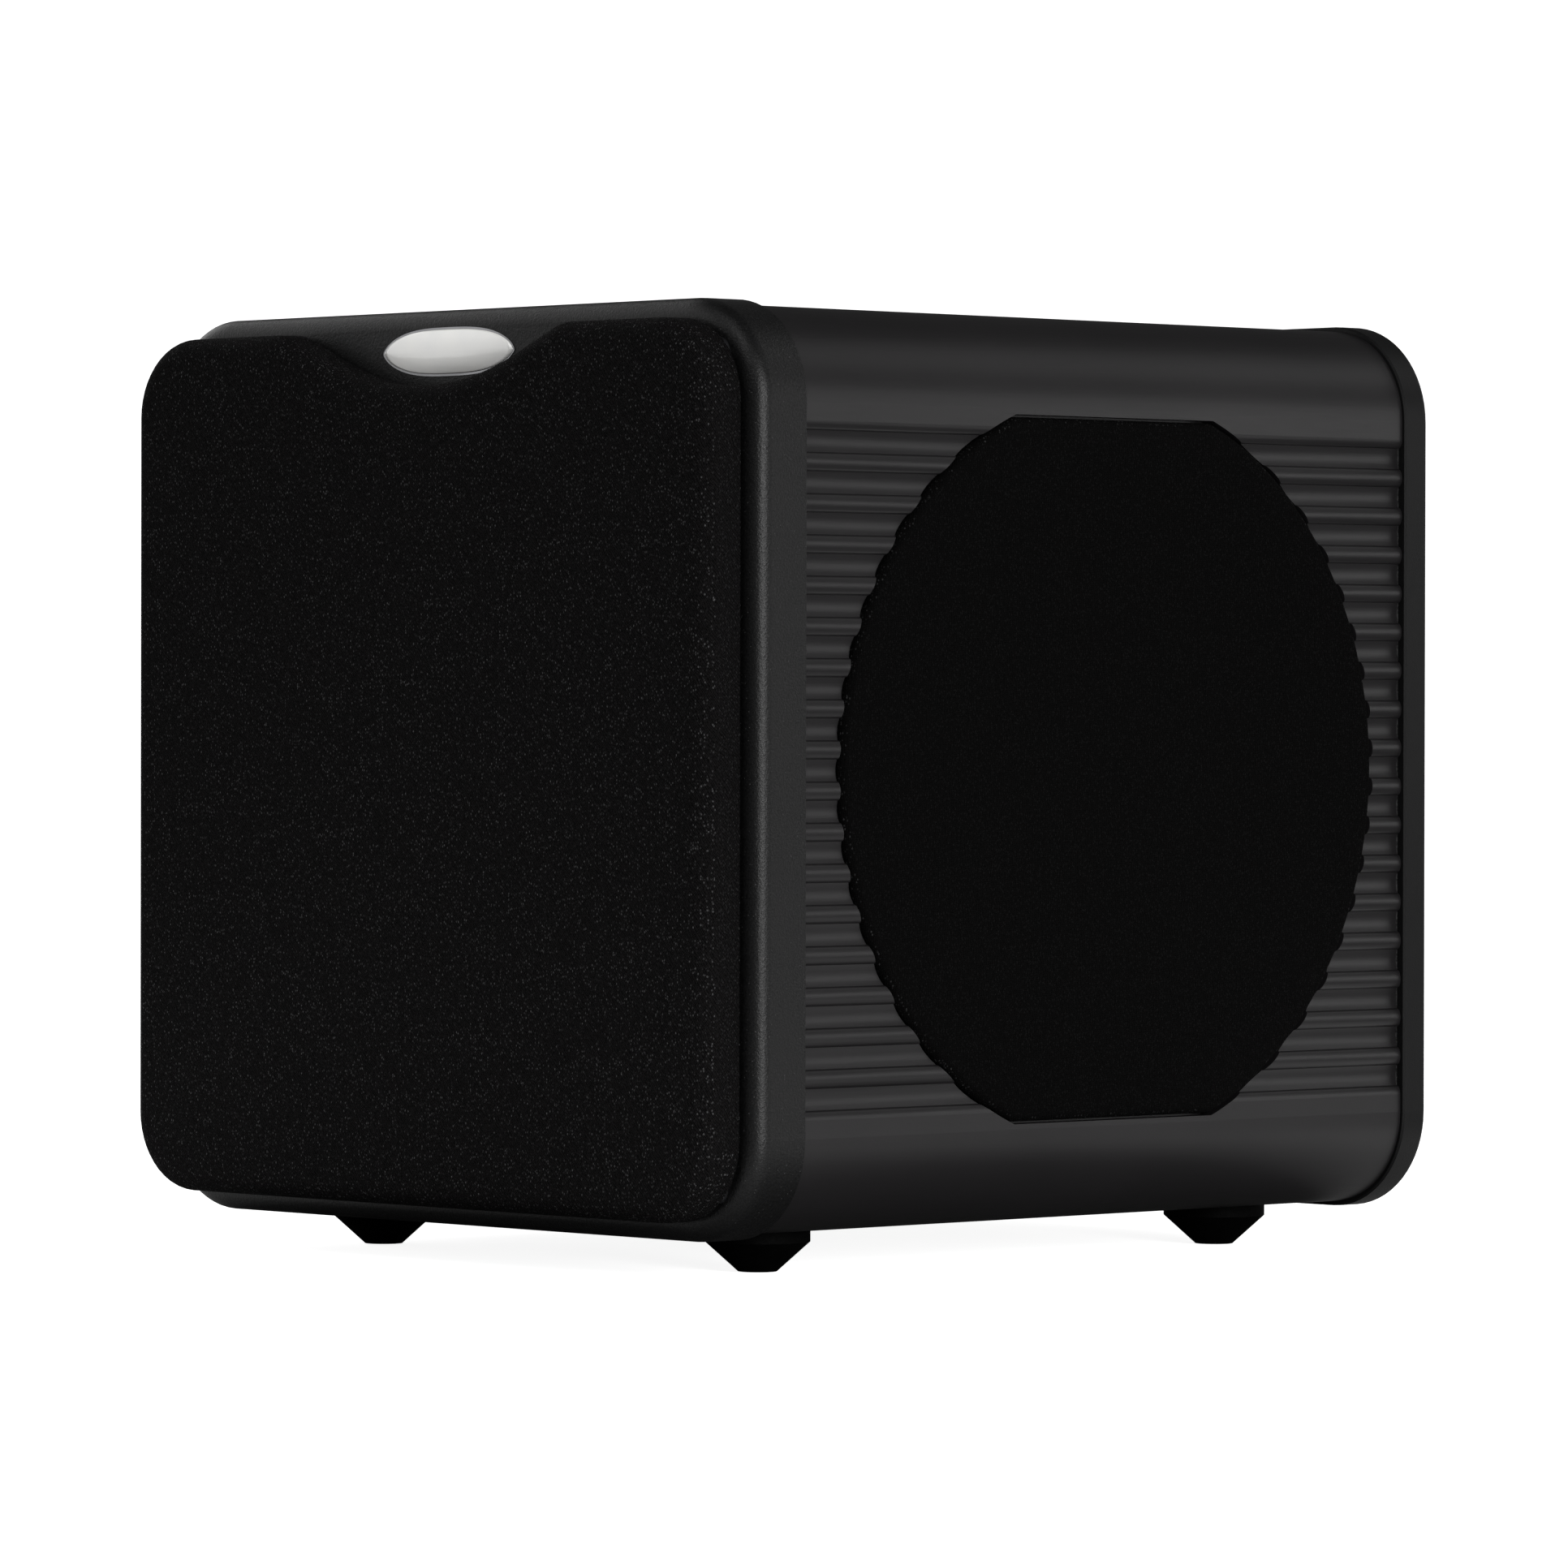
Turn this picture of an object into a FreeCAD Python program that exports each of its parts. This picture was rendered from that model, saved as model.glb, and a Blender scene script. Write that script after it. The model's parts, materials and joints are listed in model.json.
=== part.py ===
import FreeCAD, Part

import math
import os

# Compact powered subwoofer: an extruded aluminium cabinet closed by a cast front baffle and a rear
# frame, one active driver in front, two opposed passive radiators in the sides, and an amplifier
# plate at the rear. Millimetres. +X points to the right as seen from the front, the front looks
# along -Y, +Z is up. The origin is at the bottom centre of the bounding box.

V = FreeCAD.Vector

# Overall layout
MID_Z = 120.2  # height of the cabinet's axis above the table
GRILLE_FRONT_Y = -123.2
GRILLE_BACK_Y = -111.2
BAFFLE_FRONT_Y = -110.2
CABINET_FRONT_Y = -94.16
CABINET_BACK_Y = 111.16
REAR_BACK_Y = 119.4
RADIATOR_Y = 9.2  # the side radiators and side grilles are centred along the cabinet
REACH = 300.0  # longer than any piece, for cutting tools

# Front baffle and rear frame share one outline
FRAME_HALF_W = 110.06
FRAME_HALF_H = 111.0
FRAME_CORNER_R = 24.6
BULLNOSE_R = 4.5
EDGE_BEVEL = 0.45

# Cabinet extrusion
SHELL_HALF_W = 108.86
SHELL_HALF_H = 109.8
SHELL_CORNER_R = 23.4
SHELL_WALL = 4.0
SIDE_BAND_X = 100.5  # inner face of the thicker band behind the ribs
SIDE_BAND_HALF_H = 88.0
RIB_ZONE_HALF_H = 79.8
RIB_VALLEYS = 17  # on one side, with one ridge fewer between them
RIB_VALLEY_W = 5.1
RIB_VALLEY_DIP = 0.45  # how far a valley sinks between two ridges' feet
RIB_RISE = 1.3
RIB_W = (2 * RIB_ZONE_HALF_H - RIB_VALLEYS * RIB_VALLEY_W) / (RIB_VALLEYS - 1)
RIB_RUNOUT_Z = RIB_ZONE_HALF_H + RIB_W / 2  # where the end ridges meet the plain wall
PORT_R = 4.5  # screw ports that run the length of the extrusion
PORT_POINTS = [(sx * 97.0, sz * 97.9) for sx in (-1, 1) for sz in (-1, 1)]
PORT_POINTS += [(sx * 60.0, sz * 102.0) for sx in (-1, 1) for sz in (-1, 1)]
PORT_SCREW_R = 1.7
PORT_HOLE_R = 1.75
THROUGH_HOLE_R = 2.0

# Gaskets between the extrusion's ends and the two frames
GASKET_T = 0.8
GASKET_INSET = 1.2
GASKET_W = 1.8

# Front grille
GRILLE_HALF_W = 105.86
GRILLE_HALF_H = 106.0
GRILLE_CORNER_R = 19.4
GRILLE_EDGE_R = 5.0
CLOTH_T = 0.8
GLUE_T = 0.05  # between the cloth and the frame it is stretched over
NOTCH_HALF_TOP = 52.0
NOTCH_HALF_FLOOR = 19.5
NOTCH_FLOOR_Z = 92.4
NOTCH_TOP_R = 12.0
NOTCH_FLOOR_R = 90.0
PEG_POINTS = [(sx * 88.0, sz * 88.0) for sx in (-1, 1) for sz in (-1, 1)]
PEG_R = 3.0
SOCKET_R = 5.0
SOCKET_FLANGE_R = 6.2
SOCKET_BORE_R = 3.05
SOCKET_DEPTH = 8.0

# Badge let into the baffle, in the notch
BADGE_Z = 100.7
BADGE_HALF_L = 24.2
BADGE_HALF_H = 5.9
BADGE_RECESS = 1.2
BADGE_RIM_PROUD = 0.15
BADGE_RIM_W = 0.5
BADGE_FLOOR_T = 0.5
BADGE_SHARES = [0.97, 0.9, 0.75, 0.5, 0.25]  # stations of the outline between its tip and its middle

# Driver, w counts backwards from the front face of the basket's flange
DRIVER_Y = -103.9
DRIVER_FLANGE_R = 84.0
DRIVER_FLANGE_T = 3.0
DRIVER_RECESS_R = 84.4
DRIVER_HOLE_R = 74.0
DRIVER_SCREW_R = 80.5
DRIVER_SCREWS = 6
POLE_R = 18.3
FORMER_R = 19.3
FORMER_T = 0.3
COIL_R = 20.2
GAP_R = 20.9

# Passive radiator, u counts outwards from the cabinet's middle plane
RADIATOR_HOLE_R = 76.0
RADIATOR_FLANGE_R = 87.0
RADIATOR_FLANGE_U = 100.0
RADIATOR_LANDING_U = 94.0
RADIATOR_SCREW_R = 82.0
RADIATOR_SCREWS = 6

# Side grille
POCKET_FLOOR_U = 104.5
POCKET_R = 91.6
POCKET_CHORD = 85.1
SIDE_GRILLE_R = 91.0
SIDE_GRILLE_CHORD = 84.5
SIDE_GRILLE_FACE_U = 109.2
SIDE_CLOTH_T = 0.6
SIDE_PEG_R = 2.0
SIDE_PEG_HOLE_R = 2.05
SIDE_PEG_AT = 84.5

# Amplifier plate
PLATE_FRONT_Y = 110.7
PLATE_BACK_Y = 113.7
PLATE_HALF = 91.5
RECESS_HALF = 92.0
OPENING_HALF = 84.0
PLATE_SCREW_AT = 87.5
PLATE_SCREW_STEP = 50.0
VOLUME_AT = (-40.0, 55.0)
CROSSOVER_AT = (0.0, 55.0)
PHASE_AT = (38.0, 55.0)
LED_AT = (64.0, 55.0)
RCA_POINTS = [(x, z) for x in (48.0, 68.0) for z in (12.0, -8.0)]
POWER_AT = (-55.0, -55.0)
MAINS_AT = (-8.0, -55.0)
BOARD_X = (-50.0, 70.0)
BOARD_Z = (-22.0, 78.0)
BOARD_Y = 89.0
BOARD_T = 1.6

# Feet
FOOT_POINTS = [(sx * 69.1, y) for sx in (-1, 1) for y in (-71.8, 85.2)]
FOOT_TOP_Z = MID_Z - SHELL_HALF_H
FOOT_TOP_R = 12.7
FOOT_CONE_H = 7.2
FOOT_BOTTOM_R = 4.7


# Shared building blocks


def box(x0, x1, y0, y1, z0, z1):
    return Part.makeBox(x1 - x0, y1 - y0, z1 - z0, V(x0, y0, z0))


def rod(radius, y0, y1, x=0.0, z=0.0):
    """Cylinder along +Y at (x, z), heights counted from the cabinet's axis."""
    return Part.makeCylinder(radius, y1 - y0, V(x, y0, MID_Z + z), V(0, 1, 0))


def tube(outer, inner, y0, y1, x=0.0, z=0.0):
    return rod(outer, y0, y1, x, z).cut(rod(inner, y0, y1, x, z))


def side_rod(side, radius, u0, u1, y=0.0, z=0.0):
    """Cylinder along X between |x| = u0 and u1, (y, z) counted from the radiator's axis."""
    base = V(side * u0, RADIATOR_Y + y, MID_Z + z)
    return Part.makeCylinder(radius, u1 - u0, base, V(side, 0, 0))


def rounded_wire(corners, radii, y):
    """Closed outline in the XZ plane with each corner rounded by its own radius."""
    count = len(corners)
    edges = []
    starts = []
    ends = []
    middles = []
    for i in range(count):
        here = V(corners[i][0], y, corners[i][1] + MID_Z)
        before = V(corners[i - 1][0], y, corners[i - 1][1] + MID_Z)
        after = V(corners[(i + 1) % count][0], y, corners[(i + 1) % count][1] + MID_Z)
        back = (before - here).normalize()
        on = (after - here).normalize()
        half = back.getAngle(on) / 2
        reach = radii[i] / math.tan(half)
        inward = (back + on).normalize()
        starts.append(here + back * reach)
        ends.append(here + on * reach)
        middles.append(here + inward * (radii[i] / math.sin(half) - radii[i]))
    for i in range(count):
        edges.append(Part.Arc(starts[i], middles[i], ends[i]).toShape())
        edges.append(Part.makeLine(ends[i], starts[(i + 1) % count]))
    return Part.Wire(edges)


def rectangle_wire(half_w, half_h, radius, y):
    corners = [(half_w, half_h), (half_w, -half_h), (-half_w, -half_h), (-half_w, half_h)]
    return rounded_wire(corners, [radius] * 4, y)


def slab(half_w, half_h, radius, y0, y1):
    """Rounded rectangular plate between two depths."""
    face = Part.Face(rectangle_wire(half_w, half_h, radius, y0))
    return face.extrude(V(0, y1 - y0, 0))


def edges_at_y(shape, y):
    found = []
    for edge in shape.Edges:
        bounds = edge.BoundBox
        if abs(bounds.YMin - y) < 0.001 and abs(bounds.YMax - y) < 0.001:
            found.append(edge)
    return found


def turned(points, axis_point, axis, across):
    """Revolve a section of (radius, height) points; a 3-tuple entry is the middle of an arc."""
    places = [axis_point + across * p[0] + axis * p[1] for p in points]
    edges = []
    i = 0
    while i < len(points):
        after = (i + 1) % len(points)
        if len(points[after]) == 3:
            end = (i + 2) % len(points)
            edges.append(Part.Arc(places[i], places[after], places[end]).toShape())
            i += 2
        else:
            edges.append(Part.makeLine(places[i], places[after]))
            i += 1
    face = Part.Face(Part.Wire(edges))
    return face.revolve(axis_point, axis, 360)


def driver_turned(points):
    return turned(points, V(0, DRIVER_Y, MID_Z), V(0, 1, 0), V(0, 0, 1))


def side_turned(side, points):
    return turned(points, V(0, RADIATOR_Y, MID_Z), V(side, 0, 0), V(0, 0, 1))


def fuse(shapes):
    return shapes[0].multiFuse(shapes[1:]).removeSplitter()


def group(shapes):
    return Part.makeCompound(shapes)


def ring_points(radius, count, first_degrees):
    points = []
    for i in range(count):
        angle = math.radians(first_degrees + 360.0 * i / count)
        points.append((radius * math.cos(angle), radius * math.sin(angle)))
    return points


def pan_screw(x, z, head_y, tip_y, shank_r, head_r, head_h):
    """Pan-head screw along Y whose head seats at head_y and stands away from its tip."""
    away = 1 if head_y > tip_y else -1
    shank = rod(shank_r, min(head_y, tip_y), max(head_y, tip_y), x, z)
    top = head_y + away * head_h
    head = rod(head_r, min(head_y, top), max(head_y, top), x, z)
    head = head.makeFillet(head_h * 0.45, edges_at_y(head, top))
    slot_y = top - away * head_h * 0.5
    for half_x, half_z in ((head_r * 0.6, 0.4), (0.4, head_r * 0.6)):
        blade = box(
            x - half_x, x + half_x,
            min(slot_y, top), max(slot_y, top),
            MID_Z + z - half_z, MID_Z + z + half_z,
        )
        head = head.cut(blade)
    return fuse([shank, head])


# Front grille


def grille_wire(y):
    corners = [
        (GRILLE_HALF_W, GRILLE_HALF_H),
        (GRILLE_HALF_W, -GRILLE_HALF_H),
        (-GRILLE_HALF_W, -GRILLE_HALF_H),
        (-GRILLE_HALF_W, GRILLE_HALF_H),
        (-NOTCH_HALF_TOP, GRILLE_HALF_H),
        (-NOTCH_HALF_FLOOR, NOTCH_FLOOR_Z),
        (NOTCH_HALF_FLOOR, NOTCH_FLOOR_Z),
        (NOTCH_HALF_TOP, GRILLE_HALF_H),
    ]
    radii = [GRILLE_CORNER_R] * 4 + [NOTCH_TOP_R, NOTCH_FLOOR_R, NOTCH_FLOOR_R, NOTCH_TOP_R]
    return rounded_wire(corners, radii, y)


def grille_block(inset):
    """The grille's envelope, drawn in by inset on the front and all round."""
    front = GRILLE_FRONT_Y + inset
    wire = grille_wire(front)
    if inset > 0:
        wire = wire.makeOffset2D(-inset)
    block = Part.Face(wire).extrude(V(0, GRILLE_BACK_Y - front, 0))
    return block.makeFillet(GRILLE_EDGE_R - inset, edges_at_y(block, front))


def front_grille_cloth():
    return grille_block(0.0).cut(grille_block(CLOTH_T))


def front_grille_frame():
    """Moulded rim under the cloth, with thin bars across its round window and four pegs."""
    window_r = 84.0
    bar_half = 1.5
    bar_back = GRILLE_FRONT_Y + 3.9
    envelope = grille_block(CLOTH_T + GLUE_T)
    frame = envelope.cut(rod(window_r, GRILLE_FRONT_Y, GRILLE_BACK_Y))
    bars = []
    for offset in (-44.0, 0.0, 44.0):
        reach = math.sqrt(window_r * window_r - offset * offset) + 1.0
        low = GRILLE_FRONT_Y + CLOTH_T + GLUE_T
        bars.append(box(offset - bar_half, offset + bar_half, low, bar_back,
                        MID_Z - reach, MID_Z + reach))
        bars.append(box(-reach, reach, low, bar_back,
                        MID_Z + offset - bar_half, MID_Z + offset + bar_half))
    bars = [bar.common(envelope) for bar in bars]
    pegs = []
    for x, z in PEG_POINTS:
        pegs.append(rod(PEG_R, GRILLE_BACK_Y - 1.0, BAFFLE_FRONT_Y + SOCKET_DEPTH - 1.5, x, z))
    return fuse([frame] + bars + pegs)


def grille_sockets():
    """Four rubber cups pressed into the baffle that grip the grille's pegs."""
    sockets = []
    for x, z in PEG_POINTS:
        cup = rod(SOCKET_R, BAFFLE_FRONT_Y + 0.8, BAFFLE_FRONT_Y + SOCKET_DEPTH, x, z)
        flange = rod(SOCKET_FLANGE_R, BAFFLE_FRONT_Y, BAFFLE_FRONT_Y + 0.8, x, z)
        bore = rod(SOCKET_BORE_R, BAFFLE_FRONT_Y, BAFFLE_FRONT_Y + SOCKET_DEPTH - 1.0, x, z)
        sockets.append(fuse([cup, flange]).cut(bore))
    return group(sockets)


# Badge


def badge_outline(half_l, half_h, y):
    """Lens with rounded ends, one closed curve."""
    quarter = [(share, (1 - share ** 3) ** 0.65) for share in BADGE_SHARES]
    upper = [(1.0, 0.0)] + quarter + [(0.0, 1.0)]
    upper += [(-across, up) for across, up in reversed(quarter)]
    lower = [(-across, -up) for across, up in upper]
    places = []
    for across, up in upper + lower:
        places.append(V(across * half_l, y, MID_Z + BADGE_Z + up * half_h))
    curve = Part.BSplineCurve()
    curve.interpolate(Points=places, PeriodicFlag=True)
    return Part.Wire([curve.toShape()])


def badge_rim():
    """Shallow tray the domed badge sits in."""
    front = BAFFLE_FRONT_Y - BADGE_RIM_PROUD
    depth = BADGE_RIM_PROUD + BADGE_RECESS
    outer = Part.Face(badge_outline(BADGE_HALF_L, BADGE_HALF_H, front))
    inner = Part.Face(badge_outline(BADGE_HALF_L - BADGE_RIM_W, BADGE_HALF_H - BADGE_RIM_W, front))
    return outer.extrude(V(0, depth, 0)).cut(inner.extrude(V(0, depth - BADGE_FLOOR_T, 0)))


def badge_dome():
    """Domed badge, built of lofted outlines so that its face swells to the middle."""
    seat = BAFFLE_FRONT_Y + BADGE_RECESS - BADGE_FLOOR_T
    wires = []
    for inset, rise in ((0.0, 0.0), (0.0, 1.0), (0.9, 1.7), (2.4, 2.2)):
        half_l = BADGE_HALF_L - BADGE_RIM_W - inset * 2.2
        wires.append(badge_outline(half_l, BADGE_HALF_H - BADGE_RIM_W - inset, seat - rise))
    return Part.makeLoft(wires, True, True)


# Baffle, extrusion and rear frame


def end_gasket(y0, y1):
    """Thin foam ring that seals one end of the extrusion."""
    near = GASKET_INSET
    far = GASKET_INSET + GASKET_W
    outer = slab(SHELL_HALF_W - near, SHELL_HALF_H - near, SHELL_CORNER_R - near, y0, y1)
    inner = slab(SHELL_HALF_W - far, SHELL_HALF_H - far, SHELL_CORNER_R - far, y0, y1)
    return outer.cut(inner)


def cabinet_gaskets():
    front = end_gasket(CABINET_FRONT_Y - GASKET_T, CABINET_FRONT_Y)
    back = end_gasket(CABINET_BACK_Y, CABINET_BACK_Y + GASKET_T)
    return group([front, back])


def front_baffle():
    plate = slab(FRAME_HALF_W, FRAME_HALF_H, FRAME_CORNER_R, BAFFLE_FRONT_Y, CABINET_FRONT_Y)
    plate = plate.makeFillet(BULLNOSE_R, edges_at_y(plate, BAFFLE_FRONT_Y))
    plate = plate.makeChamfer(EDGE_BEVEL, edges_at_y(plate, CABINET_FRONT_Y))
    pocket_floor = BAFFLE_FRONT_Y + 6.0
    pocket = slab(98.0, 98.0, 30.0, pocket_floor, CABINET_FRONT_Y)
    pocket = pocket.cut(rod(88.0, pocket_floor, CABINET_FRONT_Y))
    for x, z in PEG_POINTS:
        pocket = pocket.cut(rod(9.0, pocket_floor, CABINET_FRONT_Y, x, z))
    cuts = [
        pocket,
        rod(DRIVER_RECESS_R, BAFFLE_FRONT_Y, DRIVER_Y + DRIVER_FLANGE_T),
        rod(DRIVER_HOLE_R, BAFFLE_FRONT_Y, CABINET_FRONT_Y),
        end_gasket(CABINET_FRONT_Y - GASKET_T, CABINET_FRONT_Y),
    ]
    badge_seat = Part.Face(badge_outline(BADGE_HALF_L, BADGE_HALF_H, BAFFLE_FRONT_Y))
    cuts.append(badge_seat.extrude(V(0, BADGE_RECESS, 0)))
    for x, z in PORT_POINTS:
        cuts.append(rod(THROUGH_HOLE_R, BAFFLE_FRONT_Y, CABINET_FRONT_Y, x, z))
    for x, z in PEG_POINTS:
        cuts.append(rod(SOCKET_R, BAFFLE_FRONT_Y, BAFFLE_FRONT_Y + SOCKET_DEPTH, x, z))
        cuts.append(rod(SOCKET_FLANGE_R, BAFFLE_FRONT_Y, BAFFLE_FRONT_Y + 0.8, x, z))
    for x, z in ring_points(DRIVER_SCREW_R, DRIVER_SCREWS, 30):
        cuts.append(rod(PORT_HOLE_R, BAFFLE_FRONT_Y, CABINET_FRONT_Y - 1.0, x, z))
    plate = plate.cut(Part.makeCompound(cuts))
    tab_end = CABINET_FRONT_Y + 6.0
    tabs = []
    for sign in (-1, 1):
        top = sorted((sign * 101.5, sign * 105.4))
        tabs.append(box(-45, 45, CABINET_FRONT_Y, tab_end, MID_Z + top[0], MID_Z + top[1]))
        flank = sorted((sign * 96.5, sign * 100.1))
        tabs.append(box(flank[0], flank[1], CABINET_FRONT_Y, tab_end, MID_Z - 60, MID_Z + 60))
    return fuse([plate] + tabs)


def baffle_screws():
    screws = []
    for x, z in PORT_POINTS:
        tip = CABINET_FRONT_Y + 12.0
        screws.append(pan_screw(x, z, BAFFLE_FRONT_Y, tip, PORT_SCREW_R, 3.4, 0.9))
    return group(screws)


def side_arc(sign, points):
    """Arc of the extrusion's section through three (distance from the middle, height) points."""
    places = [V(sign * x, CABINET_FRONT_Y, MID_Z + z) for x, z in points]
    return Part.Arc(places[0], places[1], places[2]).toShape()


def rib_swell(sign, crest_z, turns):
    """Arcs along a ridge's half-elliptic profile; -90 is its lower foot, 0 its crest, 90 its upper foot."""
    edges = []
    for first, last in zip(turns, turns[1:]):
        places = []
        for degrees in (first, (first + last) / 2, last):
            angle = math.radians(degrees)
            x = SHELL_HALF_W - RIB_RISE + RIB_RISE * math.cos(angle)
            places.append((x, crest_z + RIB_W / 2 * math.sin(angle)))
        edges.append(side_arc(sign, places))
    return edges


def rib_edges(sign):
    """One side's ribs: shallow valleys between rounded ridges, and half a ridge at either end."""
    foot_x = SHELL_HALF_W - RIB_RISE
    edges = rib_swell(sign, -RIB_RUNOUT_Z, (0, 45, 90))
    for i in range(RIB_VALLEYS):
        low = -RIB_ZONE_HALF_H + i * (RIB_VALLEY_W + RIB_W)
        high = low + RIB_VALLEY_W
        dip = (foot_x - RIB_VALLEY_DIP, (low + high) / 2)
        edges.append(side_arc(sign, [(foot_x, low), dip, (foot_x, high)]))
        if i < RIB_VALLEYS - 1:
            edges += rib_swell(sign, high + RIB_W / 2, (-90, -45, 45, 90))
    edges += rib_swell(sign, RIB_RUNOUT_Z, (-90, -45, 0))
    return edges


def corner_edge(sign_x, sign_z):
    centre_x = SHELL_HALF_W - SHELL_CORNER_R
    centre_z = SHELL_HALF_H - SHELL_CORNER_R
    points = []
    for degrees in (0, 45, 90):
        angle = math.radians(degrees)
        x = centre_x + SHELL_CORNER_R * math.cos(angle)
        z = centre_z + SHELL_CORNER_R * math.sin(angle)
        points.append(V(sign_x * x, CABINET_FRONT_Y, MID_Z + sign_z * z))
    return Part.Arc(points[0], points[1], points[2]).toShape()


def straight(x0, z0, x1, z1):
    start = V(x0, CABINET_FRONT_Y, MID_Z + z0)
    return Part.makeLine(start, V(x1, CABINET_FRONT_Y, MID_Z + z1))


def shell_outline():
    flat_z = SHELL_HALF_H - SHELL_CORNER_R
    flat_x = SHELL_HALF_W - SHELL_CORNER_R
    edges = []
    for sign in (-1, 1):
        edges += rib_edges(sign)
        for sign_z in (-1, 1):
            edges.append(straight(sign * SHELL_HALF_W, sign_z * RIB_RUNOUT_Z,
                                  sign * SHELL_HALF_W, sign_z * flat_z))
            edges.append(corner_edge(sign, sign_z))
        edges.append(straight(-flat_x, sign * SHELL_HALF_H, flat_x, sign * SHELL_HALF_H))
    return Part.Wire(Part.__sortEdges__(edges))


def grille_disc(side, radius, chord, u0, u1):
    """Disc with its top and bottom cut off flat, the side grille's shape."""
    disc = side_rod(side, radius, u0, u1)
    x0, x1 = sorted((side * u0, side * u1))
    band = box(x0, x1, RADIATOR_Y - REACH, RADIATOR_Y + REACH, MID_Z - chord, MID_Z + chord)
    return disc.common(band)


def countersunk(side, y, z, u_head, u_tip, shank_r, head_r):
    """Flush countersunk screw along X with its head face at u_head."""
    base = V(side * u_head, RADIATOR_Y + y, MID_Z + z)
    head = Part.makeCone(head_r, shank_r, head_r - shank_r, base, V(-side, 0, 0))
    return fuse([head, side_rod(side, shank_r, u_tip, u_head, y, z)])


def cabinet_shell():
    length = CABINET_BACK_Y - CABINET_FRONT_Y
    body = Part.Face(shell_outline()).extrude(V(0, length, 0))
    inner_w = SHELL_HALF_W - SHELL_WALL
    inner_h = SHELL_HALF_H - SHELL_WALL
    cavity = slab(inner_w, inner_h, SHELL_CORNER_R - SHELL_WALL, CABINET_FRONT_Y, CABINET_BACK_Y)
    for sign in (-1, 1):
        x0, x1 = sorted((sign * SIDE_BAND_X, sign * SHELL_HALF_W))
        band = box(x0, x1, CABINET_FRONT_Y, CABINET_BACK_Y,
                   MID_Z - SIDE_BAND_HALF_H, MID_Z + SIDE_BAND_HALF_H)
        cavity = cavity.cut(band)
    for x, z in PORT_POINTS:
        cavity = cavity.cut(rod(PORT_R, CABINET_FRONT_Y, CABINET_BACK_Y, x, z))
    cuts = [cavity]
    for x, z in PORT_POINTS:
        cuts.append(rod(PORT_HOLE_R, CABINET_FRONT_Y, CABINET_BACK_Y, x, z))
    for side in (-1, 1):
        cuts.append(grille_disc(side, POCKET_R, POCKET_CHORD, POCKET_FLOOR_U, FRAME_HALF_W))
        cuts.append(side_rod(side, RADIATOR_HOLE_R, SIDE_BAND_X, POCKET_FLOOR_U))
        for y, z in ring_points(RADIATOR_SCREW_R, RADIATOR_SCREWS, 0):
            cuts.append(countersunk(side, y, z, POCKET_FLOOR_U, SIDE_BAND_X, 1.85, 3.4))
        for y, z in ring_points(SIDE_PEG_AT, 4, 45):
            cuts.append(side_rod(side, SIDE_PEG_HOLE_R, SIDE_BAND_X + 0.5, POCKET_FLOOR_U, y, z))
    for x, y in FOOT_POINTS:
        cuts.append(Part.makeCylinder(2.4, SHELL_WALL, V(x, y, FOOT_TOP_Z)))
    return body.cut(Part.makeCompound(cuts))


def plate_screw_points():
    points = []
    for step in (-1, 0, 1):
        for sign in (-1, 1):
            points.append((sign * PLATE_SCREW_AT, step * PLATE_SCREW_STEP))
            points.append((step * PLATE_SCREW_STEP, sign * PLATE_SCREW_AT))
    return points


def rear_frame():
    outer = slab(FRAME_HALF_W, FRAME_HALF_H, FRAME_CORNER_R, CABINET_BACK_Y, REAR_BACK_Y)
    outer = outer.makeFillet(1.4, edges_at_y(outer, REAR_BACK_Y))
    outer = outer.makeChamfer(EDGE_BEVEL, edges_at_y(outer, CABINET_BACK_Y))
    ledge_front = PLATE_FRONT_Y - 4.2
    collar = slab(99.8, 97.0, 26.0, ledge_front, CABINET_BACK_Y + 2.0)
    frame = fuse([outer, collar])
    cuts = [
        slab(RECESS_HALF, RECESS_HALF, 18.5, PLATE_FRONT_Y, REAR_BACK_Y),
        slab(OPENING_HALF, OPENING_HALF, 12.0, ledge_front, REAR_BACK_Y),
        end_gasket(CABINET_BACK_Y, CABINET_BACK_Y + GASKET_T),
    ]
    for x, z in PORT_POINTS:
        cuts.append(rod(THROUGH_HOLE_R, CABINET_BACK_Y, REAR_BACK_Y, x, z))
        cuts.append(rod(3.8, REAR_BACK_Y - 3.0, REAR_BACK_Y, x, z))
    for x, z in plate_screw_points():
        cuts.append(rod(1.5, ledge_front, PLATE_FRONT_Y, x, z))
    return frame.cut(Part.makeCompound(cuts))


def rear_screws():
    screws = []
    for x, z in PORT_POINTS:
        tip = CABINET_BACK_Y - 12.0
        screws.append(pan_screw(x, z, REAR_BACK_Y - 3.0, tip, PORT_SCREW_R, 3.5, 2.2))
    return group(screws)


# Driver


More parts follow.
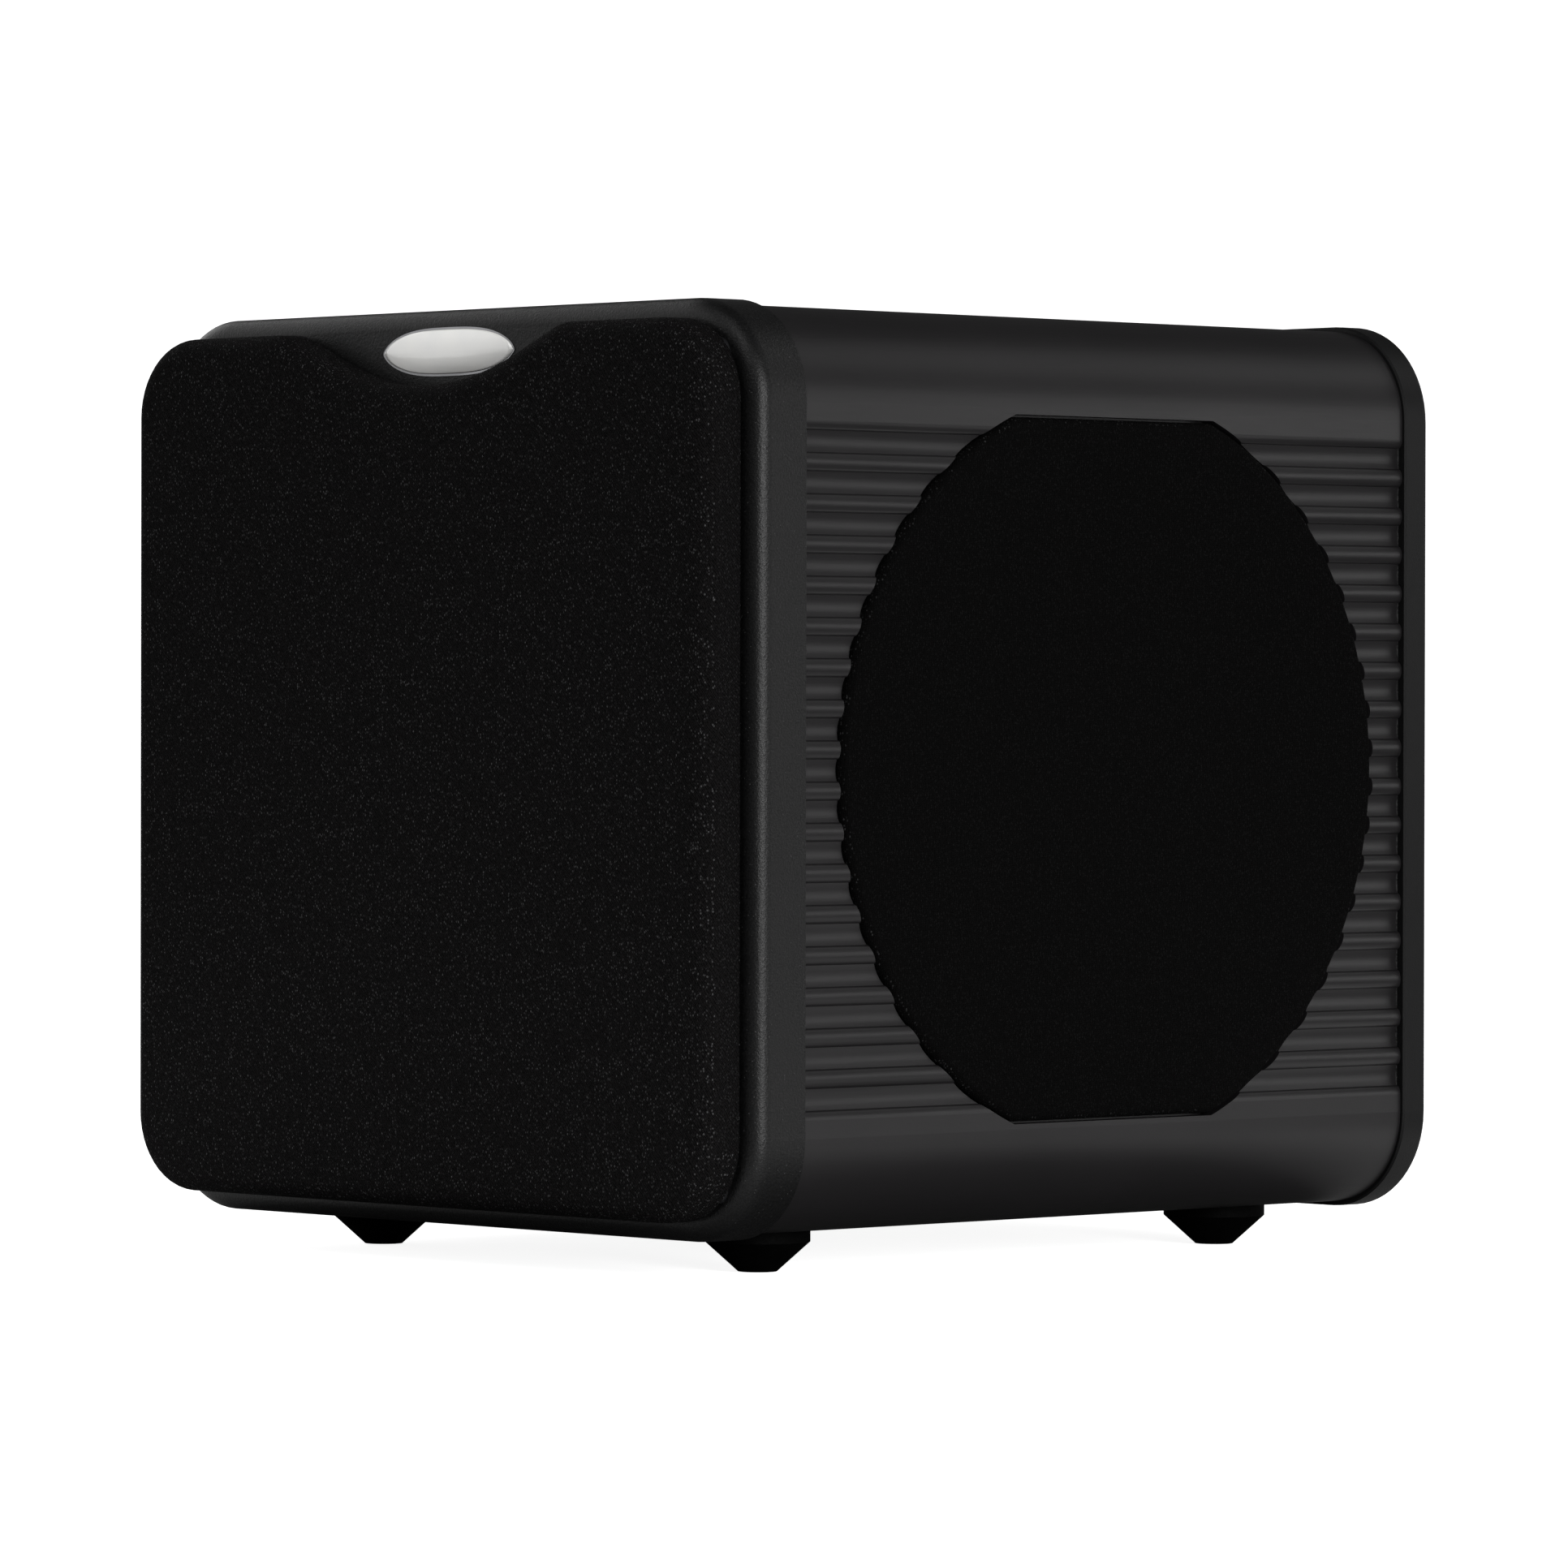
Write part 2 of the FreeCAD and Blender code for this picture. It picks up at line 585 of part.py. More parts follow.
def driver_basket():
    """Pressed frame: flange, six spokes, spider ledge and the ring that carries the magnet."""
    parts = [
        driver_turned([
            (72.0, 0.0), (DRIVER_FLANGE_R, 0.0), (DRIVER_FLANGE_R, DRIVER_FLANGE_T),
            (72.0, DRIVER_FLANGE_T),
        ]),
        driver_turned([(73.6, 2.0), (52.0, 47.0), (49.6, 47.0), (71.2, 2.0)]),
        driver_turned([(45.0, 40.5), (53.0, 40.5), (52.0, 43.0), (45.0, 43.0)]),
        driver_turned([(30.0, 46.0), (52.4, 46.0), (52.4, 49.0), (30.0, 49.0)]),
    ]
    basket = fuse(parts)
    low = DRIVER_Y + 7.0
    high = DRIVER_Y + 36.0
    for degrees in range(0, 360, 60):
        wedge = []
        for edge_degrees in (degrees - 20, degrees + 20):
            angle = math.radians(edge_degrees)
            wedge.append(V(100 * math.cos(angle), low, MID_Z + 100 * math.sin(angle)))
        face = Part.Face(Part.makePolygon([V(0, low, MID_Z), wedge[0], wedge[1], V(0, low, MID_Z)]))
        basket = basket.cut(face.extrude(V(0, high - low, 0)))
    for x, z in ring_points(DRIVER_SCREW_R, DRIVER_SCREWS, 30):
        basket = basket.cut(rod(THROUGH_HOLE_R, DRIVER_Y, DRIVER_Y + DRIVER_FLANGE_T, x, z))
    return basket


def driver_screws():
    screws = []
    for x, z in ring_points(DRIVER_SCREW_R, DRIVER_SCREWS, 30):
        tip = CABINET_FRONT_Y - 1.5
        screws.append(pan_screw(x, z, DRIVER_Y, tip, PORT_SCREW_R, 3.2, 2.0))
    return group(screws)


def cone_front_w(radius):
    """Depth of the cone's front face at a radius."""
    return 22.0 * (56.0 - radius) / (56.0 - FORMER_R)


def driver_cone():
    return driver_turned([
        (FORMER_R, cone_front_w(FORMER_R)), (56.0, 0.0), (60.0, 0.0),
        (60.0, 0.8), (56.3, 0.8), (FORMER_R, 23.0),
    ])


def dome_point(rim_r, crest_w):
    """Middle point of the arc from a dome's crest to its rim on the cone."""
    fall = cone_front_w(rim_r) - crest_w
    ball_r = (rim_r * rim_r + fall * fall) / (2 * fall)
    half = rim_r / 2
    return (half, crest_w + ball_r - math.sqrt(ball_r * ball_r - half * half), 0)


def driver_dust_cap():
    outer_r = 25.0
    inner_r = 24.3
    return driver_turned([
        (0.0, 9.6), dome_point(outer_r, 9.6), (outer_r, cone_front_w(outer_r)),
        (inner_r, cone_front_w(inner_r)), dome_point(inner_r, 10.2), (0.0, 10.2),
    ])


def driver_surround():
    """Half-roll rubber edge between the cone's rim and the basket's flange."""
    return driver_turned([
        (77.0, 0.0), (77.0, -0.8), (73.4, -0.8), (66.5, -7.7, 0), (59.6, -0.8),
        (56.5, -0.8), (56.5, 0.0), (60.4, 0.0), (66.5, -6.8, 0), (72.6, 0.0),
    ])


def wave_points(r0, r1, waves, base, height, thickness):
    """Corrugated sheet section between two radii, closed along its underside."""
    step = (r1 - r0) / (2 * waves)
    top = []
    for i in range(2 * waves):
        lift = -height if i % 2 == 0 else height
        top.append((r0 + step * i, base))
        top.append((r0 + step * (i + 0.5), base + lift, 0))
    top.append((r1, base))
    under = []
    for point in reversed(top):
        under.append((point[0], point[1] + thickness) + point[2:])
    return top, under


def driver_spider():
    """Corrugated centring disc between the coil former and the basket's ledge."""
    top, under = wave_points(23.0, 44.5, 4, 40.0, 1.1, 0.5)
    section = [(FORMER_R, 40.0)] + top + [(50.0, 40.0), (50.0, 40.5)] + under
    section.append((FORMER_R, 40.5))
    return driver_turned(section)


def voice_coil_former():
    return tube(FORMER_R, FORMER_R - FORMER_T, DRIVER_Y + 20.0, DRIVER_Y + 62.0)


def voice_coil():
    return tube(COIL_R, FORMER_R, DRIVER_Y + 46.0, DRIVER_Y + 60.0)


def driver_top_plate():
    return tube(46.0, GAP_R, DRIVER_Y + 49.0, DRIVER_Y + 55.0)


def driver_magnet():
    ring = tube(50.0, 30.0, DRIVER_Y + 55.0, DRIVER_Y + 73.0)
    outer = [e for e in ring.Edges if e.BoundBox.XLength > 90 and e.BoundBox.YLength < 0.001]
    return ring.makeChamfer(1.0, outer)


def driver_pole_plate():
    """Back plate with the pole piece and its vent."""
    disc = rod(46.0, DRIVER_Y + 73.0, DRIVER_Y + 79.0)
    pole = rod(POLE_R, DRIVER_Y + 49.0, DRIVER_Y + 73.5)
    vent = rod(5.0, DRIVER_Y + 48.0, DRIVER_Y + 80.0)
    return fuse([disc, pole]).cut(vent)


def driver_terminals():
    """Terminal strip under the basket's rear ring, with two solder tabs."""
    y0 = DRIVER_Y + 49.0
    strip = box(-13, 13, y0, y0 + 1.6, MID_Z - 64.0, MID_Z - 47.5)
    tabs = []
    for x in (-8.0, 8.0):
        tabs.append(box(x - 2.4, x + 2.4, y0 + 1.6, y0 + 2.4, MID_Z - 64.0, MID_Z - 53.0))
        tabs.append(box(x - 2.4, x + 2.4, y0 + 1.6, y0 + 8.0, MID_Z - 64.0, MID_Z - 63.2))
    return fuse([strip] + tabs)


# Passive radiators


def radiator_frame(side):
    """Stepped mounting ring screwed to the inside of the cabinet wall."""
    flange_u = RADIATOR_FLANGE_U
    ring = side_turned(side, [
        (74.0, flange_u), (RADIATOR_FLANGE_R, flange_u), (RADIATOR_FLANGE_R, flange_u - 3.0),
        (78.0, flange_u - 3.0), (78.0, 91.0), (66.6, 91.0), (66.6, RADIATOR_LANDING_U),
        (74.0, RADIATOR_LANDING_U),
    ])
    bosses = []
    holes = []
    for y, z in ring_points(RADIATOR_SCREW_R, RADIATOR_SCREWS, 0):
        bosses.append(side_rod(side, 4.2, 91.0, flange_u - 2.0, y, z))
        holes.append(side_rod(side, 1.8, 91.0, flange_u, y, z))
    return fuse([ring] + bosses).cut(Part.makeCompound(holes))


def radiator_surround(side):
    low = RADIATOR_LANDING_U
    top = low + 0.8
    return side_turned(side, [
        (73.4, low), (73.4, top), (67.4, top), (61.0, top + 6.4, 0), (54.6, top),
        (50.0, top), (50.0, low), (55.4, low), (61.0, low + 6.3, 0), (66.6, low),
    ])


def radiator_cone(side):
    """Dished piston with a flat floor for its weight."""
    rim = RADIATOR_LANDING_U
    return side_turned(side, [
        (0.0, 87.2), (30.0, 87.2), (49.6, rim), (55.2, rim), (55.2, rim - 1.2),
        (50.2, rim - 1.2), (30.4, 86.0), (0.0, 86.0),
    ])


def radiator_weight(side):
    disc = side_rod(side, 26.0, 80.0, 86.0)
    rim = [e for e in disc.Edges if abs(e.BoundBox.ZLength - 52.0) < 0.1 and e.BoundBox.XLength < 0.001]
    return disc.makeChamfer(0.8, rim)


def radiator_gaskets():
    rings = []
    for side in (-1, 1):
        ring = side_rod(side, RADIATOR_FLANGE_R, RADIATOR_FLANGE_U, SIDE_BAND_X)
        ring = ring.cut(side_rod(side, RADIATOR_HOLE_R + 1.0, RADIATOR_FLANGE_U, SIDE_BAND_X))
        for y, z in ring_points(RADIATOR_SCREW_R, RADIATOR_SCREWS, 0):
            ring = ring.cut(side_rod(side, 2.2, RADIATOR_FLANGE_U, SIDE_BAND_X, y, z))
        rings.append(ring)
    return group(rings)


def radiator_screws():
    screws = []
    for side in (-1, 1):
        for y, z in ring_points(RADIATOR_SCREW_R, RADIATOR_SCREWS, 0):
            screws.append(countersunk(side, y, z, POCKET_FLOOR_U, 92.0, 1.75, 3.3))
    return group(screws)


# Side grilles


def side_grille_block(side, inset):
    """Envelope of a side grille, drawn in by inset on its face and all round."""
    face_u = SIDE_GRILLE_FACE_U - inset
    radius = SIDE_GRILLE_R - inset
    block = grille_disc(side, radius, SIDE_GRILLE_CHORD - inset, POCKET_FLOOR_U + 0.1, face_u)
    rim = []
    for edge in block.Edges:
        bounds = edge.BoundBox
        if abs(bounds.XMin - side * face_u) < 0.001 and bounds.XLength < 0.001:
            rim.append(edge)
    return block.makeFillet(1.9 - inset, rim)


def side_grille_cloth(side):
    return side_grille_block(side, 0.0).cut(side_grille_block(side, SIDE_CLOTH_T))


def side_grille_frame(side):
    """Moulded ring with a grid of thin bars and four pegs."""
    window_r = 77.0
    floor_u = POCKET_FLOOR_U + 0.1
    bar_u = 107.1
    face_u = SIDE_GRILLE_FACE_U - SIDE_CLOTH_T
    frame = side_grille_block(side, SIDE_CLOTH_T).cut(side_rod(side, window_r, floor_u, face_u))
    pieces = [frame]
    x0, x1 = sorted((side * bar_u, side * face_u))
    for offset in (-38.0, 0.0, 38.0):
        reach = math.sqrt(window_r * window_r - offset * offset) + 1.0
        y = RADIATOR_Y + offset
        pieces.append(box(x0, x1, y - 1.0, y + 1.0, MID_Z - reach, MID_Z + reach))
        z = MID_Z + offset
        pieces.append(box(x0, x1, RADIATOR_Y - reach, RADIATOR_Y + reach, z - 1.0, z + 1.0))
    for y, z in ring_points(SIDE_PEG_AT, 4, 45):
        pieces.append(side_rod(side, SIDE_PEG_R, SIDE_BAND_X + 0.8, floor_u + 1.0, y, z))
    return fuse(pieces)


# Amplifier plate and everything on it


def plate_box(centre, half_x, half_z, y0, y1):
    x, z = centre
    return box(x - half_x, x + half_x, y0, y1, MID_Z + z - half_z, MID_Z + z + half_z)


def amp_plate():
    plate = slab(PLATE_HALF, PLATE_HALF, 18.0, PLATE_FRONT_Y, PLATE_BACK_Y)
    plate = plate.makeFillet(0.8, edges_at_y(plate, PLATE_BACK_Y))
    cuts = [
        plate_box(PHASE_AT, 4.4, 1.9, PLATE_FRONT_Y, PLATE_BACK_Y),
        plate_box(POWER_AT, 6.7, 10.7, PLATE_FRONT_Y, PLATE_BACK_Y),
        plate_box(MAINS_AT, 14.0, 16.5, PLATE_FRONT_Y, PLATE_BACK_Y),
        rod(1.55, PLATE_FRONT_Y, PLATE_BACK_Y, LED_AT[0], LED_AT[1]),
    ]
    for x, z in (VOLUME_AT, CROSSOVER_AT):
        cuts.append(rod(4.5, PLATE_FRONT_Y, PLATE_BACK_Y, x, z))
    for x, z in RCA_POINTS:
        cuts.append(rod(3.4, PLATE_FRONT_Y, PLATE_BACK_Y, x, z))
    for x, z in plate_screw_points():
        cuts.append(rod(1.7, PLATE_FRONT_Y, PLATE_BACK_Y, x, z))
    return plate.cut(Part.makeCompound(cuts))


def amp_screws():
    screws = []
    for x, z in plate_screw_points():
        screws.append(pan_screw(x, z, PLATE_BACK_Y, PLATE_FRONT_Y - 4.0, 1.45, 2.8, 1.7))
    return group(screws)


def standoff_points():
    points = []
    for x in (BOARD_X[0] + 5.0, BOARD_X[1] - 5.0):
        for z in (BOARD_Z[0] + 5.0, BOARD_Z[1] - 5.0):
            points.append((x, z))
    return points


def amp_board():
    board = box(BOARD_X[0], BOARD_X[1], BOARD_Y, BOARD_Y + BOARD_T,
                MID_Z + BOARD_Z[0], MID_Z + BOARD_Z[1])
    for x, z in standoff_points():
        board = board.cut(rod(1.6, BOARD_Y, BOARD_Y + BOARD_T, x, z))
    return board


def board_standoffs():
    """Four posts from the plate, each with a stub that passes through the board."""
    posts = []
    for x, z in standoff_points():
        post = rod(3.0, BOARD_Y + BOARD_T, PLATE_FRONT_Y, x, z)
        posts.append(fuse([post, rod(1.55, BOARD_Y - 2.0, BOARD_Y + BOARD_T + 0.5, x, z)]))
    return group(posts)


def transformer_core():
    """Ferrite core of the switching supply's transformer: two outer legs round a middle leg."""
    y0 = BOARD_Y - 26.0
    core = box(20, 56, y0, BOARD_Y, MID_Z + 28, MID_Z + 62)
    window = box(25, 51, y0, BOARD_Y, MID_Z + 34, MID_Z + 56)
    leg = box(33, 43, y0, BOARD_Y, MID_Z + 33, MID_Z + 57)
    return fuse([core.cut(window), leg])


def transformer_winding():
    y0 = BOARD_Y - 28.0
    outer = box(26, 50, y0, BOARD_Y - 1.0, MID_Z + 35, MID_Z + 55)
    hollow = box(32.9, 43.1, y0, BOARD_Y - 1.0, MID_Z + 34, MID_Z + 56)
    return group(outer.cut(hollow).Solids)


def filter_capacitors():
    cans = []
    for x in (-36.0, -8.0):
        can = rod(11.0, BOARD_Y - 30.0, BOARD_Y, x, 42.0)
        can = can.makeFillet(1.2, edges_at_y(can, BOARD_Y - 30.0))
        cans.append(can)
    return group(cans)


def control_pots():
    """Two rotary controls: case, and threaded bushing through the plate."""
    pots = []
    for x, z in (VOLUME_AT, CROSSOVER_AT):
        case = plate_box((x, z), 8.0, 8.0, PLATE_FRONT_Y - 9.0, PLATE_FRONT_Y)
        bushing = rod(4.45, PLATE_FRONT_Y - 0.5, PLATE_BACK_Y, x, z)
        bore = rod(3.05, PLATE_FRONT_Y - 7.0, PLATE_BACK_Y, x, z)
        pots.append(fuse([case, bushing]).cut(bore))
    return group(pots)


def knob(centre):
    """Fluted cap with a pointer groove, on the spindle that enters the control."""
    x, z = centre
    foot = PLATE_BACK_Y + 0.6
    top = PLATE_BACK_Y + 8.2
    cap = rod(7.5, foot, top, x, z)
    cap = cap.makeFillet(0.8, edges_at_y(cap, top))
    cuts = []
    for dx, dz in ring_points(8.0, 18, 10):
        cuts.append(rod(0.9, foot + 1.2, top, x + dx, z + dz))
    cuts.append(plate_box((x, z + 4.6), 0.45, 2.0, top - 0.5, top))
    cap = cap.cut(Part.makeCompound(cuts))
    spindle = rod(3.0, PLATE_FRONT_Y - 6.0, foot + 1.0, x, z)
    return fuse([cap, spindle])


def phase_switch_body():
    body = plate_box(PHASE_AT, 8.0, 4.0, PLATE_FRONT_Y - 7.0, PLATE_FRONT_Y)
    return body.cut(plate_box(PHASE_AT, 4.4, 1.9, PLATE_FRONT_Y - 4.5, PLATE_FRONT_Y))


def phase_switch_lever():
    """Ribbed slider, resting at the low-x end of its slot."""
    centre = (PHASE_AT[0] - 2.0, PHASE_AT[1])
    lever = plate_box(centre, 2.3, 1.85, PLATE_FRONT_Y - 4.4, PLATE_BACK_Y + 1.8)
    for dx in (-1.2, 0.0, 1.2):
        rib = plate_box((centre[0] + dx, centre[1]), 0.25, 1.85, PLATE_BACK_Y + 1.3, PLATE_BACK_Y + 1.8)
        lever = lever.cut(rib)
    return lever


def power_switch_housing():
    bezel = plate_box(POWER_AT, 8.0, 12.0, PLATE_BACK_Y, PLATE_BACK_Y + 1.6)
    bezel = bezel.makeFillet(0.6, edges_at_y(bezel, PLATE_BACK_Y + 1.6))
    body = plate_box(POWER_AT, 6.6, 10.6, PLATE_FRONT_Y - 16.0, PLATE_BACK_Y + 0.4)
    cavity = plate_box(POWER_AT, 5.2, 9.2, PLATE_FRONT_Y - 9.0, PLATE_BACK_Y + 1.6)
    return fuse([bezel, body]).cut(cavity)


def power_rocker():
    """Two-way rocker, its ends turned about the pivot, tilted to its off position."""
    pivot_y = PLATE_BACK_Y - 3.5
    x, z = POWER_AT
    wheel = Part.makeCylinder(9.0, 10.0, V(x - 5.0, pivot_y, MID_Z + z), V(1, 0, 0))
    band = plate_box(POWER_AT, 5.0, 9.0, pivot_y - 3.0, pivot_y + 5.6)
    dish = Part.makeCylinder(34.0, 10.0, V(x - 5.0, pivot_y + 38.2, MID_Z + z), V(1, 0, 0))
    body = wheel.common(band).cut(dish)
    body.rotate(V(x, pivot_y, MID_Z + z), V(1, 0, 0), 8.0)
    return body


def mains_inlet():
    """Three-pole appliance inlet with a fuse drawer under the socket."""
    bezel = plate_box(MAINS_AT, 16.0, 18.5, PLATE_BACK_Y, PLATE_BACK_Y + 2.2)
    bezel = bezel.makeFillet(0.7, edges_at_y(bezel, PLATE_BACK_Y + 2.2))
    body = plate_box(MAINS_AT, 13.9, 16.4, PLATE_FRONT_Y - 18.0, PLATE_BACK_Y + 0.5)
    x, z = MAINS_AT
    socket = plate_box((x, z + 5.5), 12.2, 8.2, PLATE_BACK_Y - 14.0, PLATE_BACK_Y + 2.2)
    drawer_slot = plate_box((x, z - 9.5), 11.0, 4.0, PLATE_BACK_Y - 15.0, PLATE_BACK_Y + 2.2)
    return fuse([bezel, body]).cut(socket).cut(drawer_slot)


def mains_pins():
    x, z = MAINS_AT
    pins = []
    for dx, dz in ((-7.0, 3.5), (7.0, 3.5), (0.0, 7.5)):
        pins.append(plate_box((x + dx, z + dz), 1.0, 2.0, PLATE_BACK_Y - 14.0, PLATE_BACK_Y - 1.0))
    return group(pins)


def fuse_drawer():
    x, z = MAINS_AT
    drawer = plate_box((x, z - 9.5), 10.9, 3.9, PLATE_BACK_Y - 14.5, PLATE_BACK_Y + 2.4)
    fuse_bed = plate_box((x, z - 8.0), 9.0, 2.6, PLATE_BACK_Y - 13.0, PLATE_BACK_Y - 6.0)
    grip = plate_box((x, z - 13.0), 3.0, 0.9, PLATE_BACK_Y + 1.2, PLATE_BACK_Y + 2.4)
    return drawer.cut(fuse_bed).cut(grip)


def rca_shells():
    """Four phono sockets: plated barrel outside, threaded body through the plate."""
    shells = []
    for x, z in RCA_POINTS:
        barrel = rod(4.15, PLATE_BACK_Y, PLATE_BACK_Y + 9.5, x, z)
        collar = rod(6.0, PLATE_BACK_Y, PLATE_BACK_Y + 1.6, x, z)
        thread = rod(3.35, PLATE_FRONT_Y - 5.0, PLATE_BACK_Y + 0.5, x, z)
        nut = rod(5.2, PLATE_FRONT_Y - 2.4, PLATE_FRONT_Y, x, z)
        shell = fuse([barrel, collar, thread, nut])
        shells.append(shell.cut(rod(3.0, PLATE_FRONT_Y - 5.0, PLATE_BACK_Y + 9.5, x, z)))
    return group(shells)


def rca_insulators():
    """White plugs inside the barrels, with the bore for the plug's centre pin."""
    plugs = []
    for x, z in RCA_POINTS:
        plug = rod(3.0, PLATE_FRONT_Y - 5.0, PLATE_BACK_Y + 8.7, x, z)
        plugs.append(plug.cut(rod(1.65, PLATE_BACK_Y - 4.0, PLATE_BACK_Y + 8.7, x, z)))
    return group(plugs)


def led_lens():
    x, z = LED_AT
    stem = rod(1.5, PLATE_FRONT_Y - 4.0, PLATE_BACK_Y + 1.0, x, z)
    stem = stem.makeFillet(0.9, edges_at_y(stem, PLATE_BACK_Y + 1.0))
    return fuse([stem, rod(2.2, PLATE_FRONT_Y - 4.0, PLATE_FRONT_Y, x, z)])


def speaker_wires():
    """Two leads from the amplifier board to the driver's terminal strip."""
    leads = []
    for offset in (-8.0, 8.0):
        start = V(offset + 44.0, BOARD_Y, MID_Z - 14.0)
        end = V(offset, DRIVER_Y + 57.2, MID_Z - 63.6)
        places = [
            start,
            V(offset + 40.0, 60.0, MID_Z - 30.0),
            V(offset + 22.0, 10.0, MID_Z - 66.0),
            V(offset + 4.0, -26.0, MID_Z - 68.0),
            end,
        ]
        ahead = V(0, -1, 0)
        curve = Part.BSplineCurve()
        curve.interpolate(Points=places, InitialTangent=ahead, FinalTangent=ahead)
        path = Part.Wire([curve.toShape()])
        ring = Part.Wire([Part.makeCircle(0.9, start, ahead)])
        leads.append(path.makePipeShell([ring], True, True))
    return group(leads)


# Feet


def feet():
    """Truncated-cone rubber feet with a pocket for the stud's flange."""
    parts = []
    for x, y in FOOT_POINTS:
        top = Part.makeCylinder(FOOT_TOP_R, FOOT_TOP_Z - FOOT_CONE_H, V(x, y, FOOT_CONE_H))
        cone = Part.makeCone(FOOT_BOTTOM_R, FOOT_TOP_R, FOOT_CONE_H, V(x, y, 0))
        pocket = Part.makeCylinder(7.0, 2.0, V(x, y, FOOT_TOP_Z - 2.0))
        parts.append(fuse([top, cone]).cut(pocket))
    return group(parts)


def foot_studs():
    """Flanged studs moulded into the feet and screwed into the cabinet's floor."""
    parts = []
    for x, y in FOOT_POINTS:
        flange = Part.makeCylinder(7.0, 2.0, V(x, y, FOOT_TOP_Z - 2.0))
        shank = Part.makeCylinder(2.35, SHELL_WALL + 2.0, V(x, y, FOOT_TOP_Z - 1.0))
        parts.append(fuse([flange, shank]))
    return group(parts)


SIDES = {"left": -1, "right": 1}

SINGLE_PARTS = [
    front_grille_frame, front_grille_cloth, grille_sockets, badge_rim, badge_dome,
    front_baffle, cabinet_gaskets, baffle_screws, cabinet_shell, rear_frame, rear_screws,
    driver_basket, driver_screws, driver_cone, driver_dust_cap, driver_surround, driver_spider,
    voice_coil_former, voice_coil, driver_top_plate, driver_magnet, driver_pole_plate,
    driver_terminals, radiator_gaskets, radiator_screws,
    amp_plate, amp_screws, amp_board, board_standoffs, transformer_core, transformer_winding,
    filter_capacitors, control_pots, phase_switch_body, phase_switch_lever,
    power_switch_housing, power_rocker, mains_inlet, mains_pins, fuse_drawer,
    rca_shells, rca_insulators, led_lens, speaker_wires, feet, foot_studs,
]


def all_nodes():
    nodes = {}
    for make in SINGLE_PARTS:
        nodes[make.__name__] = make()
    for name, side in SIDES.items():
        nodes[name + "_radiator_frame"] = radiator_frame(side)
        nodes[name + "_radiator_surround"] = radiator_surround(side)
        nodes[name + "_radiator_cone"] = radiator_cone(side)
        nodes[name + "_radiator_weight"] = radiator_weight(side)
        nodes[name + "_grille_frame"] = side_grille_frame(side)
        nodes[name + "_grille_cloth"] = side_grille_cloth(side)
    nodes["volume_knob"] = knob(VOLUME_AT)
    nodes["crossover_knob"] = knob(CROSSOVER_AT)
    return nodes


os.makedirs("parts", exist_ok=True)
for node_name, node_shape in all_nodes().items():
    node_shape.exportStep(os.path.join("parts", node_name + ".step"))
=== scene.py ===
import json
import math

import bmesh
import bpy
from mathutils import Matrix, Vector


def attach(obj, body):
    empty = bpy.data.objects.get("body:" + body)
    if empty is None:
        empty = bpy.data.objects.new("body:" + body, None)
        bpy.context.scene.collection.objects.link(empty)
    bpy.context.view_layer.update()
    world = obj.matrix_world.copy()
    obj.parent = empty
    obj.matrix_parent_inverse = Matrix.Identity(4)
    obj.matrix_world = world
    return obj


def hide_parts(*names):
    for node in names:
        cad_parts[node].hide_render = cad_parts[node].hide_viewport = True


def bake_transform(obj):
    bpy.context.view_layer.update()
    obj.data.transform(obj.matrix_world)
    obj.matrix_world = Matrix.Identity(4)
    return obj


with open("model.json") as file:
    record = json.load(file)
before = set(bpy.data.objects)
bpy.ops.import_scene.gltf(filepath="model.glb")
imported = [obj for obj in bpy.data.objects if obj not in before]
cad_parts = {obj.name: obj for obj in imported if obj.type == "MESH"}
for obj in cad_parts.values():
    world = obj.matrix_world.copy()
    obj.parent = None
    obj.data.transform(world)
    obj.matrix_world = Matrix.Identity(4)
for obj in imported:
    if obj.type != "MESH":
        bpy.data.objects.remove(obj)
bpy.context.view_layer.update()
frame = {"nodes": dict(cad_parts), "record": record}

# Looks of a compact powered subwoofer. The CAD holds every hard part; this script gives each one its
# finish and builds the stretched cloths, the rubber rolls, the centring disc and the badge's dome.
# Metres, Z up, the front faces -Y.

MM = 0.001
MID_Z = 0.1202  # height of the cabinet's axis
RADIATOR_Y = 0.0092  # the side radiators sit slightly behind the middle

# ---------------------------------------------------------------------------------------------
# Materials
# ---------------------------------------------------------------------------------------------


